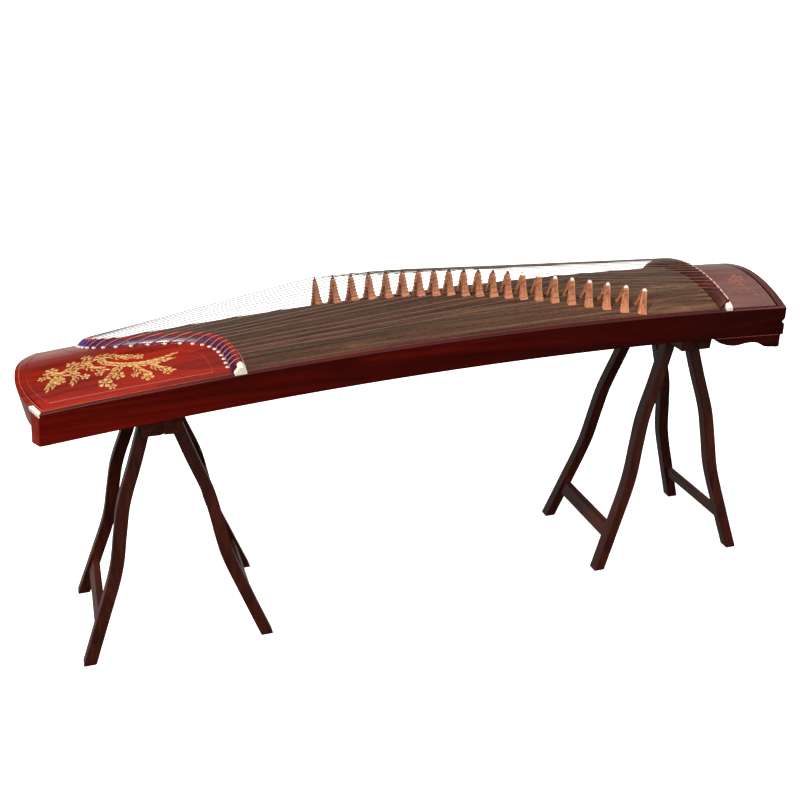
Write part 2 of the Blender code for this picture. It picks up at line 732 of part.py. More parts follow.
def make_frame(name, side, stand, height, origin_height, material):
    """Half of a folding stand: a top bar, two S-shaped legs and a stretcher, glued together."""
    scale = height / STAND_HEIGHT
    stand_x, stand_y = stand.location.x, stand.location.y

    def place_bar(u, v, w):
        level = (0.0, HINGE_GROOVE / BAR_HEIGHT, 1.0)[round(w * 2)]
        near = GAP / 2 + (HINGE_GROOVE if level == 0.0 else 0.0)
        far = lerp(BAR_FOOT_WIDTH, BAR_WIDTH, level)
        x = side * lerp(near, far, u)
        top = stand_top(x, stand_x, stand_y)
        z = lerp(height - BAR_HEIGHT, top, level) - origin_height
        return x, lerp(-BAR_HALF_LENGTH, BAR_HALF_LENGTH, v), z

    bar = add_object(name, shaped_mesh(name, (2, 1, 2), place_bar), PARTS, material, stand,
                     (0, 0, origin_height))
    for end in (-1, 1):
        guide_name = f"{name}_leg_{'near' if end < 0 else 'far'}"
        mesh = shaped_mesh(guide_name, (1, 1, LEG_CELLS), leg_place(side, end, scale))
        add_boolean(bar, add_guide(guide_name, mesh, stand), "UNION")

    def place_stretcher(u, v, w):
        z = STRETCHER_HEIGHT + (w - 0.5) * STRETCHER_SIZE[1]
        x = side * (smooth_path(LEG_OUTLINE, z) + (u - 0.5) * STRETCHER_SIZE[0])
        outer = lerp(LEG_FOOT_Y, LEG_TOP_Y, z / LEG_OUTLINE[-1][0]) - LEG_DEPTH / 2
        return x, lerp(-outer, outer, v), z * scale

    guide_name = f"{name}_stretcher"
    mesh = shaped_mesh(guide_name, (1, 1, 1), place_stretcher)
    add_boolean(bar, add_guide(guide_name, mesh, stand), "UNION")
    return bar


def make_hinge_rod(name, stand, origin_height, material):
    turn = Matrix.Rotation(math.radians(90), 4, "X")
    shift = Matrix.Translation((0, 0, -HINGE_HALF_LENGTH))
    mesh = cylinder_mesh(name, HINGE_RADIUS, 2 * HINGE_HALF_LENGTH, HINGE_SIDES, turn @ shift)
    return add_object(name, mesh, PARTS, material, stand, (0, 0, origin_height))


def make_stand(name, position, material, brass):
    stand = bpy.data.objects.new(name, None)
    PARTS.objects.link(stand)
    stand.location = (*position, 0)
    height = stand_top(0, *position)
    hinge_height = height - BAR_HEIGHT
    make_frame(f"{name}_frame_left", -1, stand, height, hinge_height, material)
    make_frame(f"{name}_frame_right", 1, stand, height, hinge_height, material)
    make_hinge_rod(f"{name}_hinge_rod", stand, hinge_height, brass)


# ---------------------------------------------------------------- the whole object

clear_scene()
PARTS = new_collection("guzheng")
CUTTERS = new_collection("cutters")
INSTRUMENT = bpy.data.objects.new("instrument_frame", None)
PARTS.objects.link(INSTRUMENT)
INSTRUMENT.location = (INSTRUMENT_X, 0, UNDERSIDE_HEIGHT)
INSTRUMENT.rotation_euler = (0, -TILT, 0)
MATERIALS = {name: make_material(name) for name in COLORS}

make_side_rail("side_rail_near", -1, MATERIALS["rosewood_dark"])
make_side_rail("side_rail_far", 1, MATERIALS["rosewood_dark"])
make_soundboard(MATERIALS["paulownia"])
make_bottom_board(MATERIALS["spruce_inside"])
make_tail_end(MATERIALS["rosewood_red"])
make_head_end(MATERIALS["rosewood_dark"])
make_tail_deck(MATERIALS["rosewood_red"])
make_tail_nut(MATERIALS["rosewood_red"])
make_head_nut(MATERIALS["rosewood_dark"])
make_pin_block(MATERIALS["spruce_inside"])
make_lid(MATERIALS["lid_wood"])
make_strings(MATERIALS["string_steel"])
for string_number in range(STRING_COUNT):
    make_bridge(string_number, MATERIALS["bridge_wood"])
    make_tuning_pin(string_number, MATERIALS["pin_steel"])
make_stand("tail_stand", TAIL_STAND, MATERIALS["stand_wood"], MATERIALS["hinge_brass"])
make_stand("head_stand", HEAD_STAND, MATERIALS["stand_wood"], MATERIALS["hinge_brass"])
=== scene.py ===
import math

import bmesh
import bpy
from mathutils import Matrix, Vector


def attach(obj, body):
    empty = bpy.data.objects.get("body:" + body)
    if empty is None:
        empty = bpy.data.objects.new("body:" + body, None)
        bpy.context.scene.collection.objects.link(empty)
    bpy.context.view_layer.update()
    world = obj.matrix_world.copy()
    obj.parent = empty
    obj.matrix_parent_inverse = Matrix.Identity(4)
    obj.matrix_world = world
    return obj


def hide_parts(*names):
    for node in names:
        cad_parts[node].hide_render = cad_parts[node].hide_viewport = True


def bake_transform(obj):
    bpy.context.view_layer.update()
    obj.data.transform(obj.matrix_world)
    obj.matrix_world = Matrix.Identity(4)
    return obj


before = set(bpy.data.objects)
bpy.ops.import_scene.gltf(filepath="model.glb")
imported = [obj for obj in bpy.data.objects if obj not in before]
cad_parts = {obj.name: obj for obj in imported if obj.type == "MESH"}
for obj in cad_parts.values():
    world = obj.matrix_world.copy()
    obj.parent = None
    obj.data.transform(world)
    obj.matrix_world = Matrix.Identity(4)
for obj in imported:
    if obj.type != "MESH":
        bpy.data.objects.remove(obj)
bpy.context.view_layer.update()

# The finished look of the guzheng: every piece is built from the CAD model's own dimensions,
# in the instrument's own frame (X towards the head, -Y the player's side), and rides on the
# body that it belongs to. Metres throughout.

# The instrument's dimensions, the same as in the CAD model
HALF_LENGTH = 0.795
TAIL_BULGE = 0.040
TAIL_ROUNDNESS = 2.4
WIDTH = 0.318
HALF_WIDTH = WIDTH / 2
RAIL_HEIGHT = 0.063
RAIL_THICKNESS = 0.008
INNER_HALF = HALF_WIDTH - RAIL_THICKNESS
ARCH_DROP = 0.031
CROWN_TAIL = 0.025
CROWN_HEAD = 0.045
UNDERSIDE_HEIGHT = 0.569
INSTRUMENT_X = 0.0204
TILT = math.radians(2.3)
GAP = 0.0003
BOARD_THICKNESS = 0.008
BOARD_RECESS = 0.0006
DECK_THICKNESS = 0.004
END_THICKNESS = 0.019
TAIL_END_THICKNESS = 0.014
TAIL_END_ARCH = 0.016
LID_THICKNESS = 0.005
PIN_BLOCK_DEPTH = 0.034
NOTCH_DEPTH = 0.007
NOTCH_HEIGHTS = (0.024, 0.031, 0.038)
SKIRT_START = 0.613
SKIRT_OUTLINE = ((0.0, 0.0), (0.020, 0.012), (0.055, 0.020), (0.092, 0.0155),
                 (0.115, 0.017), (0.138, 0.0275), (0.182, 0.029))
STRING_COUNT = 21
STRING_SPACING = 0.0131
FIRST_STRING_Y = -0.131
NUT_X = 0.637
NUT_SLANT = -0.06
NUT_HEIGHT = 0.018
NUT_BACK = 0.002
SADDLE_HALF_WIDTH = 0.0015
SADDLE_HEIGHT = 0.0022
LID_SLOT = 0.0105
RIDGE_HEIGHT = 0.013
RIDGE_CREST = 0.004
RIDGE_EDGE = 0.003
RIDGE_FRONT = 0.011
RIDGE_ENDS = (-0.150, 0.128)
RIDGE_OFFSET = 0.020
ROW_MIDDLE = (-0.582, 0.014)
ROW_SWING = -0.137
ROW_TURN = 0.055
BRIDGE_FIRST_X = 0.446
BRIDGE_STEP = -0.0327
BRIDGE_SWAY = -0.0148
BRIDGE_HEIGHTS = (0.045, 0.062)
BRIDGE_SPREADS = (0.0215, 0.0225)
BRIDGE_MARGIN = 0.0026
BRIDGE_TURNS = (math.radians(-9), math.radians(12))
BRIDGE_LEANS = (0.0065, -0.0020)
PIN_RADIUS = 0.0025
PIN_FIRST_X = 0.680
PIN_ROW_STEP = 0.026
PIN_ROWS = 3
TAIL_STAND = (-0.559, -0.009)
HEAD_STAND = (0.610, 0.008)
STAND_HEIGHT = 0.530
BAR_HALF_LENGTH = 0.142
BAR_WIDTH = 0.039
BAR_FOOT_WIDTH = 0.0365
BAR_HEIGHT = 0.032
LEG_SIZE = 0.0262
LEG_FOOT_Y = 0.1465
LEG_TOP_Y = 0.0865
LEG_OUTLINE = ((0.0, 0.183), (0.10, 0.146), (0.20, 0.111), (0.28, 0.0955),
               (0.34, 0.083), (0.42, 0.0545), (0.505, 0.0265))
STRETCHER_HEIGHT = 0.080
STRETCHER_SIZE = (0.015, 0.028)
HINGE_GROOVE = 0.0040
HINGE_RADIUS = 0.0022
HINGE_HALF_LENGTH = 0.134

# Finish details that the CAD model leaves out
RIM = 0.0085                 # width of the frame's rim round the tail
UNDERCUT = 0.008             # how far the tail wall's foot stands back under its top
TAIL_LEAN = 0.0078           # how far the corners' feet stand out beyond their tops
NUT_CAP_PROFILE = ((-0.0120, 0.0035), (-0.0040, 0.0118), (0.0025, 0.0152),
                   (0.0070, 0.0125), (0.0116, 0.0060))
POST_Y = 0.133               # the tail wall's corner posts begin here
POST_EDGE = 0.003            # over this width the wall steps back from the post
PALE_LINE_HALF = 0.0006          # half the width of the pale lines
PALE_LINE_PROUD = 0.00025
GROOVE_HALF = 0.0009         # of the line cut round the tail panel
GROOVE_DEPTH = 0.0011
PANEL_NEAR = -0.1395
PANEL_SLANT = 0.0085         # the panel is this much narrower at the tail, on its near side
PANEL_FAR = 0.122
SLOPE_START = -0.0165        # the tail nut's long slope begins here, beside the string holes
WRAP_END = -0.0035           # and the strings' thread wrapping ends here
WRAP_RADIUS = 0.0015
STRING_RADIUS = 0.0006       # a string's middle lies this far above what it rests on
BONE_TIPS = 8                # this many bridges have bone tips, the rest dark tips
HOLE_RADIUS = 0.0021
EYELET = (0.0029, 0.0013)    # radius of its ring, and of the ring's section
FOOT_START = 0.0012          # height of the tail nut beside the string holes
ARCH_RUN = 0.04              # the tail wall's lower edge rises over this width
PANEL_TAIL = 0.0215          # from the tail's edge to the line round its panel
PANEL_FLARE = (0.010, 0.14)  # that line stands this much further in, at this place across
PANEL_ROW = -0.050           # from the tail nut's middle to that line
HEAD_CAP_X = (-0.0070, 0.0088)
HEAD_CAP_Y = (0.1575, 0.1395)
HEAD_CAP_HEIGHT = 0.0135
RIM_DEPTH = 0.002            # the head end's rim, down from the board's top
FACES_UP = 0.7               # a face's normal is steeper than this on the rim, which is painted lighter as a highlight
LID_GAP = 0.0040             # between the lid and the head end board
STRING_RADII = (0.00070, 0.00095)       # first and last string
GREEN_EVERY = 5              # every fifth string is green
BRIDGE_FEET = (0.0205, 0.0188)          # thickness of the first and last bridge at their feet
BRIDGE_TOPS = (0.0100, 0.0052)          # and at their tops
TIP_LENGTHS = (0.0098, 0.0054)
TIP_HALF_WIDTH = 0.0038

INSTRUMENT = (Matrix.Translation((INSTRUMENT_X, 0, UNDERSIDE_HEIGHT))
              @ Matrix.Rotation(-TILT, 4, "Y"))


# ---------------------------------------------------------------- the instrument's surfaces

def lerp(a, b, t):
    return a + (b - a) * t


def ease(t):
    """A smooth step from 0 to 1."""
    t = min(max(t, 0.0), 1.0)
    return t * t * (3 - 2 * t)


def smooth_path(points, at):
    """Value at a place along a list of (place, value) points, as a smooth curve through them."""
    last = len(points) - 1
    for index in range(last):
        (place_a, value_a), (place_b, value_b) = points[index], points[index + 1]
        if at <= place_b or index == last - 1:
            before = points[max(index - 1, 0)]
            after = points[min(index + 2, last)]
            slope_a = (value_b - before[1]) / (place_b - before[0])
            slope_b = (after[1] - value_a) / (after[0] - place_a)
            span = place_b - place_a
            t = min(max((at - place_a) / span, 0.0), 1.0)
            return (value_a + (value_b - value_a) * ease(t)
                    + slope_a * span * t * (1 - t) ** 2
                    - slope_b * span * t * t * (1 - t))


def arch(x):
    return -ARCH_DROP * (x / HALF_LENGTH) ** 2


def board_top(x, y):
    crown = CROWN_TAIL + (CROWN_HEAD - CROWN_TAIL) * (x / HALF_LENGTH + 1) / 2
    return RAIL_HEIGHT + arch(x) + crown * (1 - (y / HALF_WIDTH) ** 2)


def rail_bottom(x):
    return arch(x) - smooth_path(SKIRT_OUTLINE, max(x - SKIRT_START, 0.0))


def tail_outside(y):
    return -HALF_LENGTH - TAIL_BULGE * (1 - abs(y / HALF_WIDTH) ** TAIL_ROUNDNESS)


def tail_inside(y):
    """Inner edge of the rim round the tail, in plan."""
    return tail_outside(y * HALF_WIDTH / INNER_HALF) + RIM


def hole_row(y):
    return ROW_MIDDLE[0] + ROW_SWING * math.tanh((y - ROW_MIDDLE[1]) / ROW_TURN)


def ridge_point(y, across):
    step = 0.0005
    slope = (hole_row(y + step) - hole_row(y - step)) / (2 * step)
    length = math.hypot(1, slope)
    offset = RIDGE_OFFSET + across
    return hole_row(y) + offset / length, y - offset * slope / length


def solve_rising(function, wanted):
    low, high = -0.30, 0.30
    for _ in range(34):
        middle = (low + high) / 2
        if function(middle) < wanted:
            low = middle
        else:
            high = middle
    return low


def ridge_x(y, across=0.0):
    return ridge_point(solve_rising(lambda row: ridge_point(row, across)[1], y), across)[0]


def along_row(t):
    first, last = (y - hole_row(y) for y in RIDGE_ENDS)
    return solve_rising(lambda y: y - hole_row(y), lerp(first, last, t))


def ridge_profile(across):
    """Height of the tail nut: a long slope from the string holes, a round crest, a steep fall."""
    if across < RIDGE_CREST:
        t = (across - SLOPE_START) / (RIDGE_CREST - SLOPE_START)
        rise = math.sin(math.pi / 2 * max(t, 0.0)) ** 0.85
        return FOOT_START + (RIDGE_HEIGHT - FOOT_START) * rise
    t = (across - RIDGE_CREST) / (RIDGE_FRONT - RIDGE_CREST)
    return RIDGE_EDGE + (RIDGE_HEIGHT - RIDGE_EDGE) * math.cos(math.pi / 2 * min(t, 1.0)) ** 0.7


def nut_crest(y):
    return NUT_X + NUT_SLANT * y


def string_y(number):
    return FIRST_STRING_Y + STRING_SPACING * number


def bridge_x(number):
    turn = 2 * math.pi * number / (STRING_COUNT - 1)
    return BRIDGE_FIRST_X + BRIDGE_STEP * number + BRIDGE_SWAY * math.sin(turn)


def graded(ends, number):
    """A value that goes evenly from the first string or bridge to the last."""
    return lerp(*ends, number / (STRING_COUNT - 1))


def bridge_height(number):
    return graded(BRIDGE_HEIGHTS, number)


def bridge_spread(number):
    room = INNER_HALF - BRIDGE_MARGIN - abs(string_y(number))
    return min(graded(BRIDGE_SPREADS, number), room)


def askew(number, along, across, share):
    """Where a bridge's point goes: each stands a little turned, and leans along its string."""
    turn, lean = graded(BRIDGE_TURNS, number), graded(BRIDGE_LEANS, number)
    return (along * math.cos(turn) - across * math.sin(turn) - lean * (1 - share),
            along * math.sin(turn) + across * math.cos(turn))


def pin_x(number):
    return PIN_FIRST_X + PIN_ROW_STEP * (number % PIN_ROWS)


def block_top(x, y):
    return board_top(x, y) - PIN_BLOCK_DEPTH


def stand_top(x, stand_x):
    along = stand_x + x - INSTRUMENT_X
    return (UNDERSIDE_HEIGHT + along * math.tan(TILT) + arch(along) / math.cos(TILT)
            - 2 * GAP)


# ---------------------------------------------------------------- mesh building

class Build:
    """Collects closed shells into one mesh."""

    def __init__(self):
        self.verts, self.faces = [], []

    def add(self, shell):
        verts, faces = shell
        start = len(self.verts)
        self.verts.extend(verts)
        self.faces.extend(tuple(start + corner for corner in face) for face in faces)
        return self

    def mesh(self, name, sharp=40):
        mesh = bpy.data.meshes.new(name)
        mesh.from_pydata(self.verts, [], self.faces)
        bm = bmesh.new()
        bm.from_mesh(mesh)
        bmesh.ops.recalc_face_normals(bm, faces=bm.faces[:])
        bm.to_mesh(mesh)
        bm.free()
        mesh.polygons.foreach_set("use_smooth", [True] * len(mesh.polygons))
        mesh.set_sharp_from_angle(angle=math.radians(sharp))
        return mesh


def block(cuts, place):
    """A closed block cut into cells along its three directions; its skin only."""
    verts, faces, index = [], [], {}

    def corner(key):
        if key not in index:
            index[key] = len(verts)
            verts.append(place(*(step / count for step, count in zip(key, cuts))))
        return index[key]

    for axis in range(3):
        a, b = (axis + 1) % 3, (axis + 2) % 3
        for end in (0, cuts[axis]):
            for s in range(cuts[a]):
                for t in range(cuts[b]):
                    quad = []
                    for ds, dt in ((0, 0), (1, 0), (1, 1), (0, 1)):
                        key = [0, 0, 0]
                        key[axis], key[a], key[b] = end, s + ds, t + dt
                        quad.append(corner(tuple(key)))
                    faces.append(tuple(quad))
    return verts, faces


def evenly(low, high, count):
    """Values from low to high in a number of equal steps."""
    return [lerp(low, high, step / count) for step in range(count + 1)]


def ring_faces(rings, sides):
    """Quads between one ring of points and the next, for rings that follow each other."""
    faces = []
    for ring in range(rings - 1):
        for step in range(sides):
            a, b = ring * sides + step, ring * sides + (step + 1) % sides
            faces.append((a, b, b + sides, a + sides))
    return faces


def tube(path, radius, sides=8):
    """A round tube along a path of points, closed at both ends."""
    points = [Vector(point) for point in path]
    last = len(points) - 1
    verts = []
    normal = None
    for index, point in enumerate(points):
        tangent = (points[min(index + 1, last)] - points[max(index - 1, 0)]).normalized()
        if normal is None:
            side = Vector((0, 1, 0)) if abs(tangent.y) < 0.9 else Vector((0, 0, 1))
            normal = tangent.cross(side).normalized()
        normal = (normal - tangent * normal.dot(tangent)).normalized()
        across = tangent.cross(normal)
        size = radius(index / last) if callable(radius) else radius
        for step in range(sides):
            turn = 2 * math.pi * step / sides
            verts.append(tuple(point + size * (math.cos(turn) * normal
                                               + math.sin(turn) * across)))
    faces = ring_faces(len(points), sides)
    faces.append(tuple(range(sides)))
    faces.append(tuple(last * sides + step for step in range(sides)))
    return verts, faces


def lathe(profile, sides=24, place=None):
    """A closed turned shape: (radius, height) points from the bottom pole to the top pole."""
    verts = []
    rings = profile[1:-1]
    for radius, height in rings:
        for step in range(sides):
            turn = 2 * math.pi * step / sides
            verts.append((radius * math.cos(turn), radius * math.sin(turn), height))
    faces = ring_faces(len(rings), sides)
    for pole, ring in ((profile[0], 0), (profile[-1], len(rings) - 1)):
        verts.append((0, 0, pole[1]))
        for step in range(sides):
            faces.append((ring * sides + step, ring * sides + (step + 1) % sides,
                          len(verts) - 1))
    if place:
        verts = [tuple(place @ Vector(vert)) for vert in verts]
    return verts, faces


def ring(middle, radius, thickness, sides=20, section=8):
    """A closed torus lying flat round a point."""
    verts, faces = [], []
    for step in range(sides):
        turn = 2 * math.pi * step / sides
        for cut in range(section):
            angle = 2 * math.pi * cut / section
            reach = radius + thickness * math.cos(angle)
            verts.append((middle[0] + reach * math.cos(turn),
                          middle[1] + reach * math.sin(turn),
                          middle[2] + thickness * math.sin(angle)))
    for step in range(sides):
        for cut in range(section):
            a, b = step * section + cut, step * section + (cut + 1) % section
            c, d = ((step + 1) % sides * section + cut,
                    (step + 1) % sides * section + (cut + 1) % section)
            faces.append((a, b, d, c))
    return verts, faces


def ribbon(points, half_width, low, high):
    """A thin raised strip along a plan path, lying on the curved top."""
    plan = [Vector(point) for point in points]
    last = len(plan) - 1

    def place(u, v, w):
        index = round(u * last)
        along = (plan[min(index + 1, last)] - plan[max(index - 1, 0)]).normalized()
        width = half_width(u) if callable(half_width) else half_width
        reach = lerp(-width, width, v)
        x = plan[index].x - along.y * reach
        y = plan[index].y + along.x * reach
        return x, y, board_top(x, y) + lerp(low, high, w)

    return block((last, 1, 1), place)


def add_piece(name, shape, body, slot, materials, nodes=(), place=INSTRUMENT, bevel=0.0,
              segments=3, keep=True, sharp=40):
    """A finished piece in its place, from a shell, a Build or a mesh, tied to its body."""
    if isinstance(shape, tuple):
        shape = Build().add(shape)
    mesh = shape.mesh(name, sharp) if isinstance(shape, Build) else shape
    obj = bpy.data.objects.new(name, mesh)
    bpy.context.scene.collection.objects.link(obj)
    for material in materials:
        mesh.materials.append(material)
    obj.matrix_world = place
    if bevel:
        modifier = obj.modifiers.new("rounded_edges", "BEVEL")
        modifier.width = bevel
        modifier.segments = segments
        modifier.limit_method = "ANGLE"
        modifier.angle_limit = math.radians(35)
        modifier.harden_normals = True
    if keep:
        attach(obj, body)
    if nodes:
        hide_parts(*nodes)
    return obj


# ---------------------------------------------------------------- materials

FADE_REACH = 0.84            # a fade's positions 0 and 1 are this far from the middle
PATTERN_SPAN = (0.3, 0.7)    # the values that a noise pattern takes most of the time

class Nodes:
    """A node tree being built: shader nodes, with their sockets set or linked."""

    def __init__(self, tree):
        self.tree = tree

    def set(self, node, key, value):
        socket = node.inputs[key.replace("_", " ") if isinstance(key, str) else key]
        if isinstance(value, bpy.types.NodeSocket):
            self.tree.links.new(value, socket)
        elif isinstance(value, tuple) and len(value) == 3 and socket.type == "RGBA":
            socket.default_value = (*value, 1)
        else:
            socket.default_value = value

    def add(self, kind, settings=None, **inputs):
        node = self.tree.nodes.new("ShaderNode" + kind)
        for key, value in (settings or {}).items():
            setattr(node, key, value)
        for key, value in inputs.items():
            self.set(node, key, value)
        return node

    def ramp(self, factor, stops):
        node = self.add("ValToRGB", Fac=factor)
        elements = node.color_ramp.elements
        while len(elements) < len(stops):
            elements.new(0.5)
        for element, (position, color) in zip(elements, stops):
            element.position = position
            element.color = (*color, 1)
        return node.outputs["Color"]

    def span(self, value, low, high, to_low, to_high):
        return self.add("MapRange", Value=value, From_Min=low, From_Max=high, To_Min=to_low,
                        To_Max=to_high).outputs["Result"]

    def mix(self, factor, a, b, blend="MIX"):
        node = self.add("Mix", {"data_type": "RGBA", "blend_type": blend})
        for key, value in ((0, factor), (6, a), (7, b)):
            self.set(node, key, value)
        return node.outputs[2]

    def math(self, operation, a, b):
        node = self.add("Math", {"operation": operation})
        for key, value in enumerate((a, b)):
            self.set(node, key, value)
        return node.outputs[0]


class Paint(Nodes):
    """One node material. Constants that are the same all over go on the shader itself."""

    def __init__(self, name, **sockets):
        self.material = bpy.data.materials.new(name)
        self.material.use_nodes = True
        super().__init__(self.material.node_tree)
        self.shader = self.tree.nodes["Principled BSDF"]
        self.finish(**sockets)

    def finish(self, **sockets):
        for key, value in sockets.items():
            self.set(self.shader, key, value)

    def place(self):
        return self.add("TexCoord").outputs["Object"]

    def along(self, letter):
        return self.add("SeparateXYZ", Vector=self.place()).outputs[letter]

    def fading(self, letter):
        """A place along X or Y, as 0 to 1 between the two ends of FADE_REACH."""
        return self.span(self.along(letter), -FADE_REACH, FADE_REACH, 0.0, 1.0)

    def noise(self, scale, detail=4.0, roughness=0.55, distortion=0.0):
        mapped = self.add("Mapping", Vector=self.place(), Scale=scale).outputs["Vector"]
        return self.add("TexNoise", Vector=mapped, Scale=1.0, Detail=detail,
                        Roughness=roughness, Distortion=distortion).outputs["Fac"]

    def roughness(self, pattern, low, high):
        return self.span(pattern, *PATTERN_SPAN, low, high)

    def bump(self, height, strength, distance):
        node = self.add("Bump", Height=height, Strength=strength, Distance=distance)
        self.set(self.shader, "Normal", node.outputs["Normal"])


def srgb(red, green, blue):
    """An ordinary 0 to 255 colour as the shader's linear one."""
    def linear(value):
        value /= 255
        return value / 12.92 if value <= 0.04045 else ((value + 0.055) / 1.055) ** 2.4
    return linear(red), linear(green), linear(blue)


def tones(*stops):
    """Stops of a ramp, each a position and an ordinary 0 to 255 colour."""
    return tuple((position, srgb(*color)) for position, *color in stops)


def greys(*stops):
    return tuple((position, (grey, grey, grey)) for position, grey in stops)


def stretched(axis, along, across):
    return tuple(along if letter == axis else across for letter in "XYZ")


def wood(name, stops, axis="X", figure=(2.2, 34.0), pores=(60.0, 900.0), rough=(0.20, 0.34),
         pore_color=0.55, bump=0.25, fades=(), **sockets):
    """Wood with its figure and fine pores drawn out along the grain."""
    paint = Paint(name, **sockets)
    bands = paint.noise(stretched(axis, *figure), 5.0, 0.62, 1.2)
    color = paint.ramp(bands, stops)
    grain = paint.noise(stretched(axis, *pores), 3.0, 0.6)
    dark = paint.ramp(grain, greys((0.30, pore_color), (0.52, 1.0)))
    color = paint.mix(1.0, color, dark, "MULTIPLY")
    for letter, points in fades:
        shade = paint.ramp(paint.fading(letter), points)
        color = paint.mix(1.0, color, shade, "MULTIPLY")
    paint.finish(Base_Color=color, Roughness=paint.roughness(grain, rough[1], rough[0]))
    height = paint.math("ADD", paint.math("MULTIPLY", bands, 0.5), grain)
    paint.bump(height, bump, 0.0004)
    return paint.material


def speckled(name, dark, light, size, rough, bump=0.1, depth=0.0003, **sockets):
    """An almost even material with soft mottling."""
    paint = Paint(name, **sockets)
    mottle = paint.noise((size, size, size), 4.0, 0.6)
    paint.finish(Base_Color=paint.ramp(mottle, tones((0.35, *dark), (0.65, *light))),
                 Roughness=paint.roughness(mottle, *rough))
    paint.bump(mottle, bump, depth)
    return paint.material


def wound(name, dark, light, turns, rough, metallic, fade=None):
    """Wire or thread wound round and round: fine ridges across its length."""
    paint = Paint(name, Metallic=metallic)
    coord = paint.math("MULTIPLY", paint.along("X"), turns)
    ridges = paint.span(paint.math("SINE", coord, 0.0), -1.0, 1.0, 0.0, 1.0)
    mottle = paint.noise((300.0, 300.0, 300.0), 3.0)
    tone = paint.math("MULTIPLY", ridges, paint.roughness(mottle, 0.75, 1.1))
    # The colour follows the turns: lighter on their crests and darker between them, a painted
    # highlight and shade of the winding
    color = paint.ramp(tone, tones((0.05, *dark), (0.8, *light)))
    if fade:
        low, high, far_dark, far_light = fade
        share = paint.span(paint.along("Y"), low, high, 0.0, 1.0)
        far_color = paint.ramp(tone, tones((0.05, *far_dark), (0.8, *far_light)))
        color = paint.mix(share, color, far_color)
    paint.finish(Base_Color=color, Roughness=paint.roughness(mottle, *rough))
    paint.bump(ridges, 0.5, 0.0002)
    return paint.material


def lacquer(shine, coat, coat_roughness):
    return {"Specular_IOR_Level": shine, "Coat_Weight": coat, "Coat_Roughness": coat_roughness}


# Fades along and across the instrument: a direction, and colours that multiply the wood's; all
# but the purple one are painted light and shade
# Painted light and shade on the dark rosewood: lighter at the tail, where the light falls, darker
# towards the head
PAINTED_SHADE_TO_HEAD = ("X", ((0.0, (1.5, 1.3, 1.2)), (0.22, (1.05, 1.0, 1.0)),
                        (0.36, (0.66, 0.70, 0.8)), (0.62, (0.50, 0.56, 0.7)),
                        (1.0, (0.24, 0.34, 0.5))))
PURPLE_TO_FAR = ("Y", ((0.55, (1.0, 1.0, 1.0)), (0.85, (0.7, 1.2, 2.2))))
# Painted light and shade on the pale lines: pale at the tail, dark red along the middle, paler
# again at the head
LINE_SHADE_TO_HEAD = ("X", ((0.0, (1.0, 1.0, 1.0)), (0.32, (0.55, 0.25, 0.22)),
                      (0.8, (0.42, 0.14, 0.14)), (1.0, (0.7, 0.5, 0.5))))
# Painted light and shade in the groove round the tail panel: pale on its near side, dark on its
# far side
GROOVE_SHADE_TO_FAR = ("Y", ((0.38, (1.0, 1.0, 1.0)), (0.47, (0.85, 0.75, 0.75)),
                     (0.53, (0.22, 0.16, 0.18)), (0.62, (0.16, 0.10, 0.12))))
RIDGE = {"figure": (6.0, 40.0), "bump": 0.04}
STAND = {"figure": (5.0, 60.0), "pores": (70.0, 1100.0), "rough": (0.32, 0.44), "bump": 0.06,
         **lacquer(0.3, 0.12, 0.2)}

